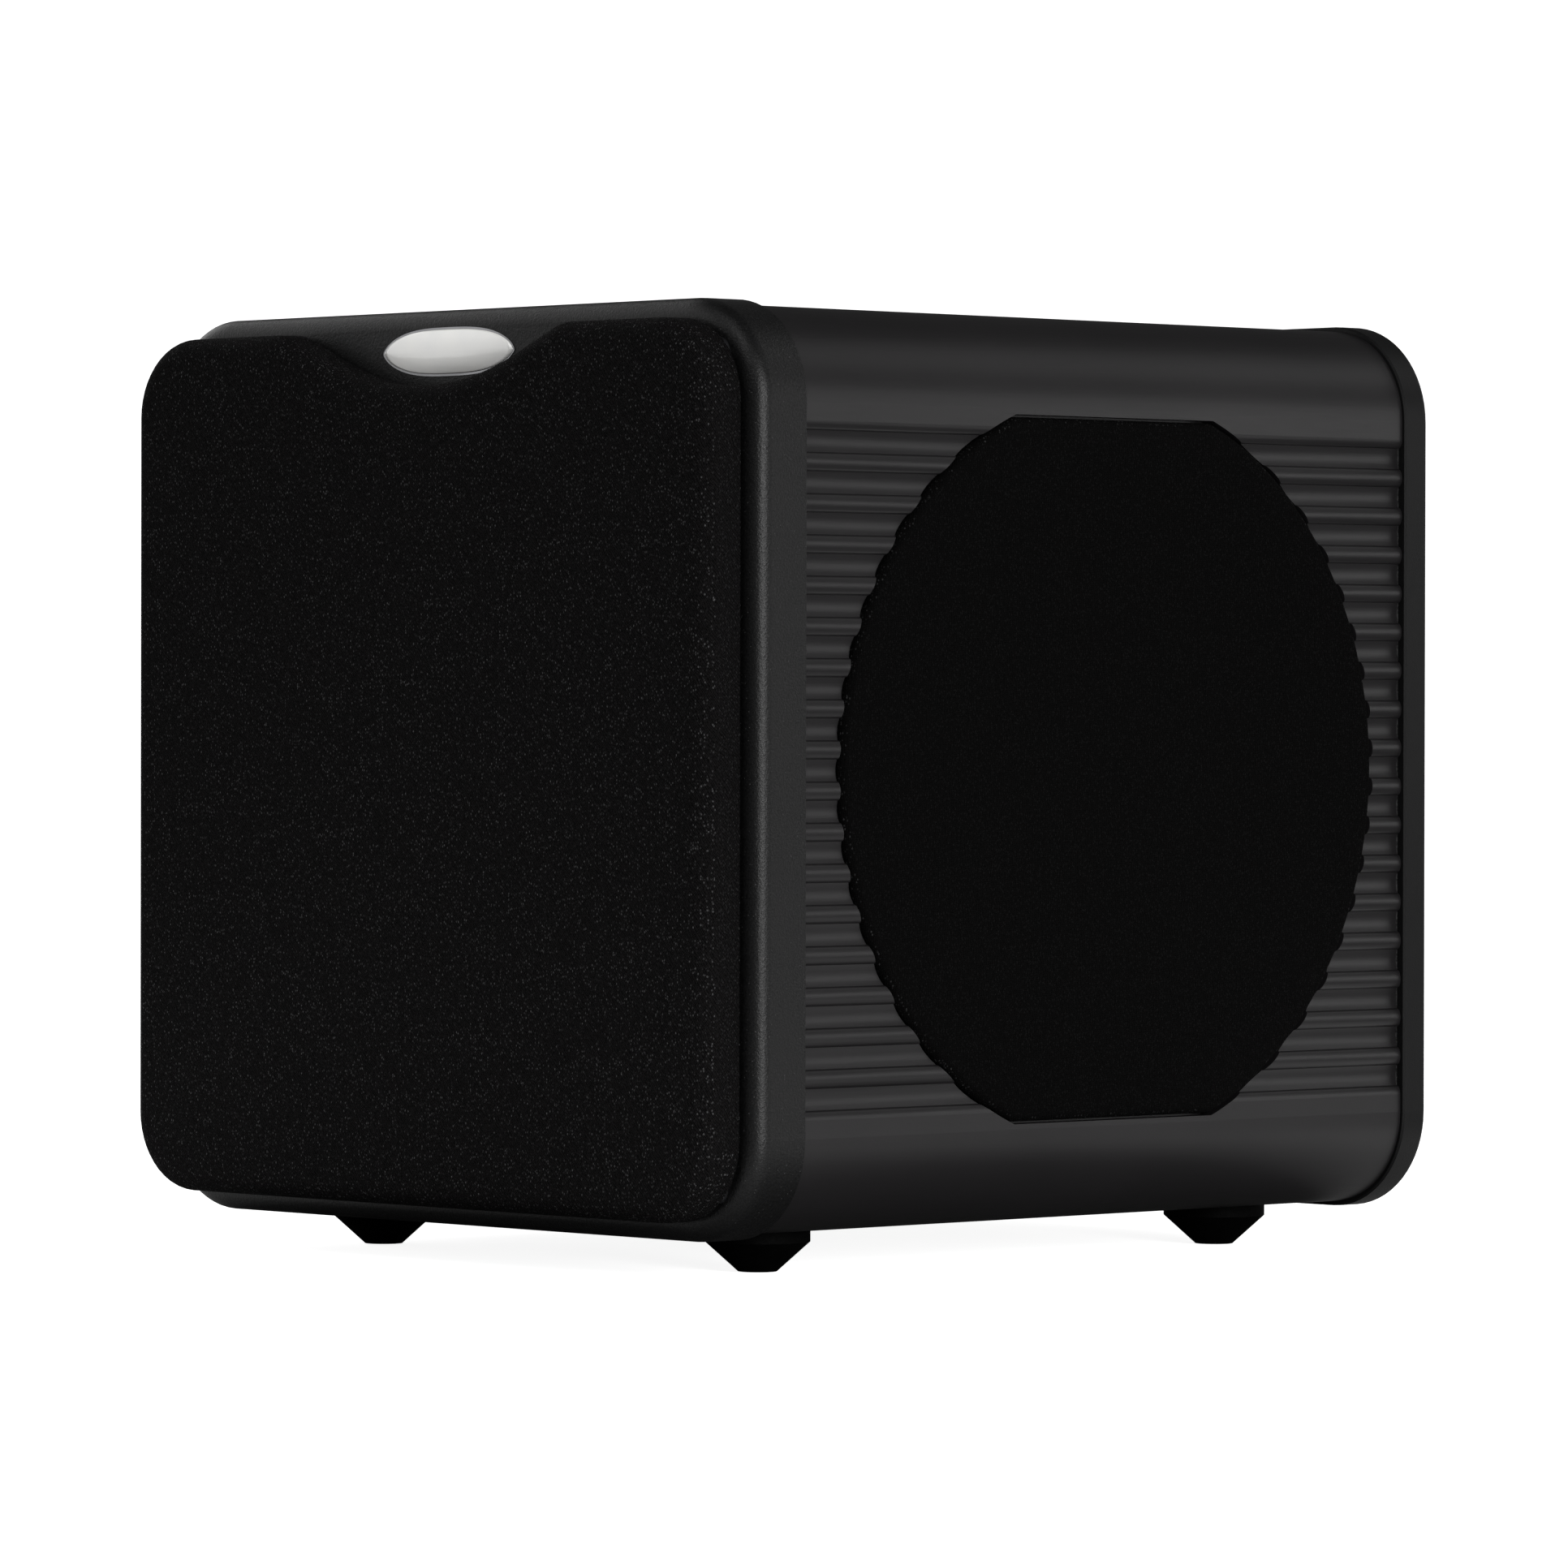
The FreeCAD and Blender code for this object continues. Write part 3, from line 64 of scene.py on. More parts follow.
class Finish:
    """A node material under construction: one Principled shader and a few node helpers."""

    def __init__(self, name):
        self.mat = bpy.data.materials.new(name)
        self.mat.use_nodes = True
        self.nt = self.mat.node_tree
        self.shader = self.nt.nodes["Principled BSDF"]
        place = self.nt.nodes.new("ShaderNodeTexCoord")
        scale = self.nt.nodes.new("ShaderNodeVectorMath")
        scale.operation = "SCALE"
        scale.inputs["Scale"].default_value = 1000.0
        self.nt.links.new(place.outputs["Object"], scale.inputs[0])
        self.mm = scale.outputs[0]  # the surface point in millimetres

    def link(self, source, target):
        self.nt.links.new(source, target)

    def set(self, **values):
        for key, value in values.items():
            socket = self.shader.inputs[key.replace("_", " ")]
            if hasattr(value, "is_output"):
                self.link(value, socket)
            elif isinstance(value, tuple) and len(value) == 3:
                socket.default_value = (*value, 1.0)
            else:
                socket.default_value = value

    def math(self, operation, *values):
        node = self.nt.nodes.new("ShaderNodeMath")
        node.operation = operation
        for socket, value in zip(node.inputs, values):
            if hasattr(value, "is_output"):
                self.link(value, socket)
            else:
                socket.default_value = value
        return node.outputs[0]

    def axes(self):
        node = self.nt.nodes.new("ShaderNodeSeparateXYZ")
        self.link(self.mm, node.inputs[0])
        return node.outputs

    def stretched(self, sx, sy, sz):
        node = self.nt.nodes.new("ShaderNodeVectorMath")
        node.operation = "MULTIPLY"
        node.inputs[1].default_value = (sx, sy, sz)
        self.link(self.mm, node.inputs[0])
        return node.outputs[0]

    def noise(self, per_mm, detail, roughness=0.5, at=None):
        node = self.nt.nodes.new("ShaderNodeTexNoise")
        node.inputs["Scale"].default_value = per_mm
        node.inputs["Detail"].default_value = detail
        node.inputs["Roughness"].default_value = roughness
        self.link(at or self.mm, node.inputs["Vector"])
        return node.outputs["Fac"]

    def cells(self, per_mm, output="Distance", at=None):
        node = self.nt.nodes.new("ShaderNodeTexVoronoi")
        node.inputs["Scale"].default_value = per_mm
        self.link(at or self.mm, node.inputs["Vector"])
        return node.outputs[output]

    def first(self, colour):
        """The red channel of a colour."""
        node = self.nt.nodes.new("ShaderNodeSeparateColor")
        self.link(colour, node.inputs[0])
        return node.outputs[0]

    def reach(self):
        """Distance from the object's origin in millimetres."""
        node = self.nt.nodes.new("ShaderNodeVectorMath")
        node.operation = "LENGTH"
        self.link(self.mm, node.inputs[0])
        return node.outputs["Value"]

    def facing_up(self):
        """1 on surfaces that face straight up, 0 on upright ones."""
        node = self.nt.nodes.new("ShaderNodeSeparateXYZ")
        self.link(self.nt.nodes.new("ShaderNodeNewGeometry").outputs["Normal"], node.inputs[0])
        return node.outputs[2]

    def camera_ray(self):
        return self.nt.nodes.new("ShaderNodeLightPath").outputs["Is Camera Ray"]

    def band(self, value, low, high, out_low=0.0, out_high=1.0):
        node = self.nt.nodes.new("ShaderNodeMapRange")
        node.inputs["From Min"].default_value = low
        node.inputs["From Max"].default_value = high
        node.inputs["To Min"].default_value = out_low
        node.inputs["To Max"].default_value = out_high
        self.link(value, node.inputs["Value"])
        return node.outputs["Result"]

    def blend(self, share, a, b):
        node = self.nt.nodes.new("ShaderNodeMix")
        node.data_type = "RGBA"
        self.link(share, node.inputs[0])
        for socket, value in ((node.inputs[6], a), (node.inputs[7], b)):
            if hasattr(value, "is_output"):
                self.link(value, socket)
            else:
                socket.default_value = (*value, 1.0)
        return node.outputs[2]

    def bump(self, height, depth_mm, strength=1.0):
        node = self.nt.nodes.new("ShaderNodeBump")
        node.inputs["Strength"].default_value = strength
        node.inputs["Distance"].default_value = depth_mm * MM
        self.link(height, node.inputs["Height"])
        self.link(node.outputs[0], self.shader.inputs["Normal"])


SPECK_GREY = (0.1, 0.1, 0.1)
FIBRE_GREY = (0.11, 0.11, 0.112)


def grain_coat(name, dark, light, rough, grain_mm, depth_mm, speck=0.0, shine=0.5):
    """Textured coat: small rounded grains, their tops lighter; speck adds sparse bright ones."""
    f = Finish(name)
    grains = f.noise(1.0 / grain_mm, 3.0, 0.62)
    tone = f.band(grains, 0.36, 0.66)
    colour = f.blend(tone, dark, light)
    if speck:
        spots = f.band(f.cells(1.0 / (grain_mm * 1.7)), 0.0, 0.16, 1.0, 0.0)
        chosen = f.math("GREATER_THAN", f.noise(0.9 / grain_mm, 0.0), 0.56)
        share = f.math("MULTIPLY", f.math("MULTIPLY", spots, chosen), speck)
        colour = f.blend(share, colour, SPECK_GREY)
    f.set(Base_Color=colour, Roughness=f.band(grains, 0.3, 0.7, rough + 0.06, rough - 0.05),
          Specular_IOR_Level=shine)
    f.bump(grains, depth_mm)
    return f.mat


def moulded(name, dark, light, rough, shine=0.5):
    """Spark-textured moulding."""
    f = Finish(name)
    pits = f.noise(2.4, 3.0, 0.55)
    broad = f.noise(0.05, 2.0)
    f.set(Base_Color=f.blend(broad, dark, light), Specular_IOR_Level=shine,
          Roughness=f.band(pits, 0.3, 0.7, rough - 0.05, rough + 0.08))
    f.bump(pits, 0.035)
    return f.mat


def metal(name, colour, rough, brushed=(1.0, 1.0, 1.0), scratch=0.12, metallic=1.0):
    """Bare or plated metal with a drawn grain along the axis that brushed scales least."""
    f = Finish(name)
    lines = f.noise(3.0, 3.0, 0.6, f.stretched(*brushed))
    stains = f.noise(0.06, 3.0)
    darker = tuple(c * 0.72 for c in colour)
    f.set(Base_Color=f.blend(f.band(stains, 0.35, 0.7), colour, darker), Metallic=metallic,
          Roughness=f.band(lines, 0.3, 0.7, rough - scratch / 2, rough + scratch / 2))
    f.bump(lines, 0.01, 0.6)
    return f.mat


def knitted(name, thread, gap, pitch_mm, slant_degrees, sparkle):
    """Stretched knit: rows of loops on a slant, dark pores between them, bright loose fibres."""
    f = Finish(name)
    x, y, z = f.axes()
    across = f.math("ADD", x, y)
    lean = math.radians(slant_degrees)
    waver = f.math("MULTIPLY", f.math("SUBTRACT", f.noise(0.3, 3.0), 0.5), 2.4)
    cos_lean, sin_lean = math.cos(lean), math.sin(lean)
    along = f.math("ADD", f.math("MULTIPLY", across, cos_lean), f.math("MULTIPLY", z, sin_lean))
    u = f.math("ADD", along, waver)
    v = f.math("SUBTRACT", f.math("MULTIPLY", z, cos_lean), f.math("MULTIPLY", across, sin_lean))
    turn = 2.0 * math.pi / pitch_mm
    rows = f.math("SINE", f.math("MULTIPLY", u, turn))
    loops = f.math("SINE", f.math("MULTIPLY", v, turn * 1.35))
    weave = f.math("ADD", f.math("MULTIPLY", rows, 0.22), f.math("MULTIPLY", loops, 0.14))
    fuzz = f.noise(1.7, 3.0, 0.8)
    height = f.math("ADD", weave, f.math("MULTIPLY", fuzz, 2.2))
    colour = f.blend(f.band(height, 0.65, 1.55), gap, thread)
    fibre_scale = 1.15 / pitch_mm
    fibre_at = f.stretched(1.0, 1.0, 0.7)
    dots = f.band(f.cells(fibre_scale, at=fibre_at), 0.08, 0.42, 1.0, 0.0)
    luck = f.math("POWER", f.first(f.cells(fibre_scale, output="Color", at=fibre_at)), 3.0)
    share = f.math("MULTIPLY", f.math("MULTIPLY", dots, luck), sparkle)
    colour = f.blend(share, colour, FIBRE_GREY)
    f.set(Base_Color=colour, Roughness=0.9, Specular_IOR_Level=0.04)
    f.bump(height, 0.14, 0.9)
    return f.mat


def anodised():
    """Satin black extrusion: fine die lines along the cabinet, a faint warm cast, a duller top."""
    f = Finish("anodised_shell")
    lines = f.noise(2.2, 3.0, 0.6, f.stretched(1.0, 0.03, 1.0))
    grain = f.noise(1.9, 3.0, 0.6)
    broad = f.noise(0.018, 2.0)
    tone = f.band(broad, 0.3, 0.7)
    colour = f.blend(tone, (0.0068, 0.0064, 0.0068), (0.0086, 0.0080, 0.0085))
    both = f.math("ADD", f.math("MULTIPLY", lines, 0.6), f.math("MULTIPLY", grain, 0.7))
    f.set(Base_Color=colour, Roughness=f.band(both, 0.4, 0.9, 0.34, 0.42),
          Specular_IOR_Level=f.band(f.facing_up(), 0.75, 0.98, 0.22, 0.06))
    f.bump(both, 0.02)
    return f.mat


def rubber():
    """Matt black rubber with a faint bloom."""
    f = Finish("rubber")
    bloom = f.noise(0.12, 4.0, 0.6)
    pits = f.noise(1.6, 3.0, 0.5)
    tone = f.band(bloom, 0.4, 0.75)
    f.set(Base_Color=f.blend(tone, (0.0003, 0.0003, 0.0003), (0.0010, 0.0010, 0.0010)),
          Roughness=f.band(pits, 0.3, 0.7, 0.62, 0.74), Specular_IOR_Level=0.03)
    f.bump(pits, 0.03)
    return f.mat


def foam():
    """Open-cell gasket foam."""
    f = Finish("foam")
    pores = f.cells(1.4)
    tone = f.band(pores, 0.1, 0.7)
    f.set(Base_Color=f.blend(tone, (0.004, 0.004, 0.004), (0.03, 0.03, 0.03)), Roughness=0.95)
    f.bump(pores, 0.2)
    return f.mat


def pearl():
    """Pearl lacquer: a warm white with a fine flake under a clear coat."""
    f = Finish("badge_pearl")
    grey = f.nt.nodes.new("ShaderNodeRGBToBW")
    f.link(f.cells(3.2, output="Color"), grey.inputs[0])
    flakes = f.math("MULTIPLY", grey.outputs[0], 0.22)
    cloud = f.noise(0.12, 2.0)
    base = f.blend(f.band(cloud, 0.3, 0.7), (0.95, 0.945, 0.915), (0.90, 0.90, 0.885))
    f.set(Base_Color=f.blend(flakes, base, (0.97, 0.96, 0.93)), Roughness=0.32, Coat_Weight=1.0,
          Coat_Roughness=0.08)
    return f.mat


def windings(name, colour, pitch_mm, along):
    """Wire laid side by side; along is the axis (0, 1, 2) it is stacked on."""
    f = Finish(name)
    place = f.axes()[along]
    turns = f.math("SINE", f.math("MULTIPLY", place, 2.0 * math.pi / pitch_mm))
    tone = f.band(turns, -1.0, 1.0)
    shaded = tuple(c * 0.35 for c in colour)
    f.set(Base_Color=f.blend(tone, shaded, colour), Metallic=0.85, Roughness=0.32)
    f.bump(turns, 0.08)
    return f.mat


def woven_cone():
    """Coated woven cone: a tight two-by-two weave under a satin resin."""
    f = Finish("cone_composite")
    x, y, z = f.axes()
    a = f.math("SINE", f.math("MULTIPLY", f.math("ADD", x, y), 2.6))
    b = f.math("SINE", f.math("MULTIPLY", f.math("ADD", z, y), 2.6))
    weave = f.math("MULTIPLY", a, b)
    tone = f.band(weave, -1.0, 1.0)
    f.set(Base_Color=f.blend(tone, (0.012, 0.012, 0.014), (0.045, 0.045, 0.05)),
          Roughness=f.band(weave, -1.0, 1.0, 0.32, 0.5))
    f.bump(weave, 0.06)
    return f.mat


def doped_cloth():
    """Resin-stiffened cotton of the centring disc."""
    f = Finish("spider_cloth")
    x, _, z = f.axes()
    warp = f.math("SINE", f.math("MULTIPLY", x, 5.0))
    weft = f.math("SINE", f.math("MULTIPLY", z, 5.0))
    weave = f.math("MULTIPLY", warp, weft)
    tone = f.band(weave, -1.0, 1.0)
    f.set(Base_Color=f.blend(tone, (0.22, 0.12, 0.03), (0.48, 0.30, 0.10)), Roughness=0.8)
    f.bump(weave, 0.1)
    return f.mat


def circuit_board():
    """Solder mask with copper traces just visible through it and tinned pads."""
    f = Finish("circuit_board")
    x, _, z = f.axes()
    step_x = f.math("SNAP", x, 5.0)
    lanes = f.math("SINE", f.math("ADD", f.math("MULTIPLY", z, 2.5), f.math("MULTIPLY", step_x, 1.7)))
    trace = f.band(lanes, 0.35, 0.5)
    pads = f.band(f.cells(0.28), 0.10, 0.13, 1.0, 0.0)
    green = f.blend(trace, (0.004, 0.05, 0.018), (0.012, 0.13, 0.05))
    f.set(Base_Color=f.blend(pads, green, (0.62, 0.62, 0.6)), Metallic=pads, Roughness=0.34)
    f.bump(trace, 0.03)
    return f.mat


def status_lens():
    """Tinted lens of the green power light."""
    f = Finish("led")
    swirl = f.noise(0.8, 1.0)
    f.set(Base_Color=f.blend(swirl, (0.02, 0.45, 0.10), (0.05, 0.62, 0.18)), Roughness=0.18,
          Transmission_Weight=0.35)
    return f.mat


FINISHES = {
    "powder_coat": grain_coat("powder_coat", (0.0014, 0.0014, 0.0015), (0.0054, 0.0054, 0.0055),
                              0.4, 0.55, 0.12, 0.8, 0.18),
    "rear_moulding": moulded("rear_moulding", (0.0027, 0.0027, 0.0028), (0.004, 0.004, 0.0041),
                             0.44, 0.1),
    "anodised_shell": anodised(),
    "grille_cloth": knitted("grille_cloth", (0.0054, 0.0049, 0.0051), (0.0003, 0.0003, 0.0003),
                            0.66, 40.0, 0.6),
    # side_cloth is grille_cloth with a much darker base colour: the darkness is painted shade for the
    # dimmer light on the side faces.
    "side_cloth": knitted("side_cloth", (0.0010, 0.0009, 0.0009), (0.00005, 0.00005, 0.00005),
                          0.70, 4.0, 0.22),
    "moulded_black": moulded("moulded_black", (0.006, 0.006, 0.006), (0.010, 0.010, 0.010),
                             0.5, 0.3),
    "badge_pearl": pearl(),
    "badge_rim": metal("badge_rim", (0.30, 0.30, 0.31), 0.34, (1.0, 1.0, 6.0)),
    "rubber": rubber(),
    "foam": foam(),
    "zinc_black": metal("zinc_black", (0.035, 0.035, 0.038), 0.38, (1.0, 1.0, 1.0), 0.15, 0.8),
    "steel": metal("steel", (0.56, 0.56, 0.57), 0.3, (0.1, 1.0, 1.0)),
    "cone_composite": woven_cone(),
    "spider_cloth": doped_cloth(),
    "former": metal("former", (0.7, 0.7, 0.71), 0.32, (1.0, 0.1, 1.0)),
    "copper": windings("copper", (0.72, 0.27, 0.10), 0.9, 1),
    "ferrite": grain_coat("ferrite", (0.016, 0.016, 0.018), (0.05, 0.05, 0.054), 0.6, 0.5, 0.05),
    "cast_alloy": grain_coat("cast_alloy", (0.012, 0.012, 0.0125), (0.03, 0.03, 0.031),
                             0.48, 0.7, 0.06),
    "circuit_board": circuit_board(),
    "brass": metal("brass", (0.72, 0.50, 0.18), 0.28, (1.0, 0.2, 1.0)),
    "gold_plate": metal("gold_plate", (0.83, 0.56, 0.16), 0.2, (1.0, 0.2, 1.0), 0.08),
    "insulator_white": moulded("insulator_white", (0.68, 0.67, 0.62), (0.75, 0.74, 0.70), 0.4),
    "capacitor_sleeve": moulded("capacitor_sleeve", (0.01, 0.012, 0.03), (0.016, 0.018, 0.045),
                                0.28),
    "led": status_lens(),
    "wire_jacket": moulded("wire_jacket", (0.35, 0.012, 0.01), (0.45, 0.02, 0.014), 0.4),
}

# Nodes whose finish differs from the one their material slot names.
SPECIAL_LOOKS = {"rear_frame": "rear_moulding"}

for part in frame["record"]["subparts"]:
    node = frame["nodes"][part["node"]]
    if not node.material_slots:
        node.data.materials.append(None)
    for holder in node.material_slots:
        holder.material = FINISHES[SPECIAL_LOOKS.get(part["node"], part["material_slot"])]

# ---------------------------------------------------------------------------------------------
# Outlines and sheets
# ---------------------------------------------------------------------------------------------


def rounded_outline(corners, radii, arc_steps, line_step):
    """Points and outward normals (a, b, na, nb) round a clockwise polygon with rounded corners."""
    count = len(corners)
    points = []
    ends = []
    for i, corner in enumerate(corners):
        here = Vector(corner)
        back = (Vector(corners[i - 1]) - here).normalized()
        on = (Vector(corners[(i + 1) % count]) - here).normalized()
        half = back.angle(on) / 2
        reach = radii[i] / math.tan(half)
        centre = here + (back + on).normalized() * (radii[i] / math.sin(half))
        first = here + back * reach
        last = here + on * reach
        turn = on.x * back.y - on.y * back.x
        outward = -1.0 if turn > 0 else 1.0
        ends.append((first, last, centre, outward))
    for i in range(count):
        first, last, centre, outward = ends[i]
        start = math.atan2(first.y - centre.y, first.x - centre.x)
        sweep = math.atan2(last.y - centre.y, last.x - centre.x) - start
        sweep = (sweep + math.pi) % (2 * math.pi) - math.pi
        for k in range(arc_steps + 1):
            angle = start + sweep * k / arc_steps
            normal = Vector((math.cos(angle), math.sin(angle)))
            spot = centre + normal * radii[i]
            points.append((spot.x, spot.y, normal.x * outward, normal.y * outward))
        begin = last
        finish = ends[(i + 1) % count][0]
        steps = max(1, round((finish - begin).length / line_step))
        normal = points[-1][2:]
        for k in range(1, steps):
            spot = begin.lerp(finish, k / steps)
            points.append((spot.x, spot.y, normal[0], normal[1]))
    return points


def new_object(name, verts, faces):
    """A smooth-shaded mesh object in the scene."""
    mesh = bpy.data.meshes.new(name)
    mesh.from_pydata(verts, [], faces)
    mesh.polygons.foreach_set("use_smooth", [True] * len(mesh.polygons))
    obj = bpy.data.objects.new(name, mesh)
    bpy.context.collection.objects.link(obj)
    return obj


def sheet(name, outline, section, rings, place):
    """Closed-front cloth cover: the section is swept round the outline, then rings close the face.

    place maps (a, b, height) to a point."""
    verts = []
    faces = []
    count = len(outline)
    for inset, height in section:
        for a, b, na, nb in outline:
            verts.append(place(a - na * inset, b - nb * inset, height))
    inset, height = section[-1]
    rim = [(a - na * inset, b - nb * inset) for a, b, na, nb in outline]
    mid_a = sum(p[0] for p in rim) / count
    for ring in range(1, rings):
        share = 1 - ring / rings
        for a, b in rim:
            verts.append(place(mid_a + (a - mid_a) * share, b * share, height))
    verts.append(place(mid_a, 0.0, height))
    for row in range(len(section) + rings - 2):
        for k in range(count):
            near = row * count
            far = near + count
            on = (k + 1) % count
            faces.append((near + k, near + on, far + on, far + k))
    last = (len(section) + rings - 2) * count
    for k in range(count):
        faces.append((last + k, last + (k + 1) % count, len(verts) - 1))
    return new_object(name, verts, faces)


SETTLE_FRAMES = 12


def settle(obj, pinned):
    """Lets the stretched cloth find its own shape, the first pinned vertices held, and keeps it."""
    group = obj.vertex_groups.new(name="held")
    group.add(list(range(pinned)), 1.0, "REPLACE")
    cloth = obj.modifiers.new("stretch", "CLOTH")
    cloth.settings.quality = 6
    cloth.settings.mass = 0.05
    cloth.settings.tension_stiffness = 40.0
    cloth.settings.compression_stiffness = 40.0
    cloth.settings.shear_stiffness = 20.0
    cloth.settings.bending_stiffness = 0.2
    cloth.settings.shrink_min = 0.01
    cloth.settings.vertex_group_mass = "held"
    cloth.settings.effector_weights.gravity = 0.05
    cloth.point_cache.frame_start = 1
    cloth.point_cache.frame_end = SETTLE_FRAMES
    scene = bpy.context.scene
    for step in range(1, SETTLE_FRAMES + 1):
        scene.frame_set(step)
    graph = bpy.context.evaluated_depsgraph_get()
    kept = bpy.data.meshes.new_from_object(obj.evaluated_get(graph), depsgraph=graph)
    obj.modifiers.clear()
    obj.data = kept
    scene.frame_set(1)


def thicken(obj, thickness_mm):
    shell = obj.modifiers.new("thickness", "SOLIDIFY")
    shell.thickness = thickness_mm * MM
    shell.offset = -1.0


def arc_section(radius, face, steps):
    """The rolled edge of a cover, from its side wall round to its face."""
    points = []
    for k in range(steps + 1):
        angle = math.pi / 2 * k / steps
        points.append((radius * (1 - math.cos(angle)), face - radius * (1 - math.sin(angle))))
    return points


def face_outwards(obj):
    bm = bmesh.new()
    bm.from_mesh(obj.data)
    bmesh.ops.recalc_face_normals(bm, faces=bm.faces)
    bm.to_mesh(obj.data)
    bm.free()


# Front cloth: heights run forwards from the grille's back plane. The corners run (right, up) from
# the middle, and the last four shape the notch under the badge.
GRILLE_CORNERS = [
    (105.86, 106.0), (105.86, -106.0), (-105.86, -106.0), (-105.86, 106.0),
    (-52.0, 106.0), (-19.5, 92.4), (19.5, 92.4), (52.0, 106.0),
]
GRILLE_RADII = [19.4] * 4 + [12.0, 90.0, 90.0, 12.0]
GRILLE_BACK_Y = -0.1112
GRILLE_DEPTH = 12.0
GRILLE_EDGE_R = 5.0
GRILLE_WRAP = [(7.0, 0.12), (3.0, 0.05), (1.0, 0.05), (0.3, 0.25), (0.0, 0.9), (0.0, 3.8)]


def front_place(a, b, height):
    return (a * MM, GRILLE_BACK_Y - height * MM, MID_Z + b * MM)


def front_cloth():
    outline = rounded_outline(GRILLE_CORNERS, GRILLE_RADII, 12, 4.0)
    section = GRILLE_WRAP + arc_section(GRILLE_EDGE_R, GRILLE_DEPTH, 9)
    obj = sheet("front_grille_fabric", outline, section, 34, front_place)
    face_outwards(obj)
    settle(obj, len(outline) * len(section))
    thicken(obj, 0.7)
    return obj


# Side cloths: a disc with its top and bottom cut flat, heights run outwards from the cabinet's middle.
SIDE_R = 91.0
SIDE_CHORD = 84.5
SIDE_FACE = 109.2
SIDE_EDGE_R = 1.9
SIDE_WRAP = [(6.0, 104.72), (1.0, 104.66), (0.0, 105.2), (0.0, SIDE_FACE - SIDE_EDGE_R)]
SIDE_ARC_STEPS = 72
SIDE_FLAT_STEPS = 14


def side_outline():
    corner = math.asin(SIDE_CHORD / SIDE_R)
    points = []
    for centre in (0.0, math.pi):
        for k in range(SIDE_ARC_STEPS + 1):
            angle = centre + corner - 2 * corner * k / SIDE_ARC_STEPS
            na, nb = math.cos(angle), math.sin(angle)
            points.append((SIDE_R * na, SIDE_R * nb, na, nb))
        up = -1.0 if centre == 0.0 else 1.0
        half = SIDE_R * math.cos(corner)
        for k in range(1, SIDE_FLAT_STEPS):
            a = (half - 2 * half * k / SIDE_FLAT_STEPS) * -up
            points.append((a, SIDE_CHORD * up, 0.0, up))
    return points


def side_cloth(name, side):
    def place(a, b, height):
        return (side * height * MM, RADIATOR_Y + a * MM, MID_Z + b * MM)

    outline = side_outline()
    section = SIDE_WRAP + arc_section(SIDE_EDGE_R, SIDE_FACE, 6)[1:]
    obj = sheet(name + "_grille_fabric", outline, section, 26, place)
    face_outwards(obj)
    settle(obj, len(outline) * len(section))
    thicken(obj, 0.55)
    return obj


RING_SEGMENTS = 160


def turned_ring(name, section, place):
    """Closed section of (radius, height) points turned about an axis."""
    verts = []
    faces = []
    rows = len(section)
    for k in range(RING_SEGMENTS):
        angle = 2 * math.pi * k / RING_SEGMENTS
        for radius, height in section:
            verts.append(place(radius * math.cos(angle), radius * math.sin(angle), height))
    for k in range(RING_SEGMENTS):
        on = (k + 1) % RING_SEGMENTS
        for row in range(rows):
            up = (row + 1) % rows
            faces.append((k * rows + row, on * rows + row, on * rows + up, k * rows + up))
    obj = new_object(name, verts, faces)
    face_outwards(obj)
    return obj


def flex_between(obj):
    """Bakes the ring's placement into its mesh."""
    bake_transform(obj)


ROLL_STEPS = 14
ROLL_THICK = 0.8


def roll_section(inner, near, far, outer, crest):
    """Half-roll edge: flat landings at both sides, an arch of uniform thickness between them."""
    middle = (near + far) / 2
    half = (far - near) / 2
    thick = ROLL_THICK
    top = [(inner, thick)]
    under = [(inner, 0.0)]
    for k in range(ROLL_STEPS + 1):
        angle = math.pi * (1 - k / ROLL_STEPS)
        top.append((middle + half * math.cos(angle), thick + (crest - thick) * math.sin(angle)))
        under.append((middle + (half - thick) * math.cos(angle), (crest - thick) * math.sin(angle)))
    top.append((outer, thick))
    under.append((outer, 0.0))
    return top + under[::-1]


DRIVER_Y = -0.1039  # front of the driver's flange
RADIATOR_X = 0.094  # the radiators' rolls lie this far out from the middle


def driver_place(a, b, height):
    return (a * MM, DRIVER_Y - height * MM, MID_Z + b * MM)


SPIDER_DROP = -40.0  # the disc lies this far behind the driver's flange
SPIDER_WAVES = 4
SPIDER_WAVE_H = 1.05
SPIDER_THICK = 0.5
SPIDER_STEPS = 72


def spider_section():
    """Corrugated disc between the coil former and the basket's ledge."""
    top = [(19.3, SPIDER_DROP)]
    for k in range(SPIDER_STEPS + 1):
        share = k / SPIDER_STEPS
        fade = min(1.0, 6.0 * min(share, 1 - share))
        wave = SPIDER_WAVE_H * fade * math.sin(2 * math.pi * SPIDER_WAVES * share)
        top.append((22.0 + 23.0 * share, SPIDER_DROP + wave))
    top.append((50.0, SPIDER_DROP))
    under = [(radius, height - SPIDER_THICK) for radius, height in reversed(top)]
    return top + under


BADGE_HALF_L = 23.65
BADGE_HALF_H = 5.35
BADGE_WALL = 1.0
BADGE_RISE = 2.2
BADGE_SEAT_Y = -0.1095
BADGE_UP = 100.7  # above the cabinet's axis
BADGE_AROUND = 128
BADGE_RINGS = 18


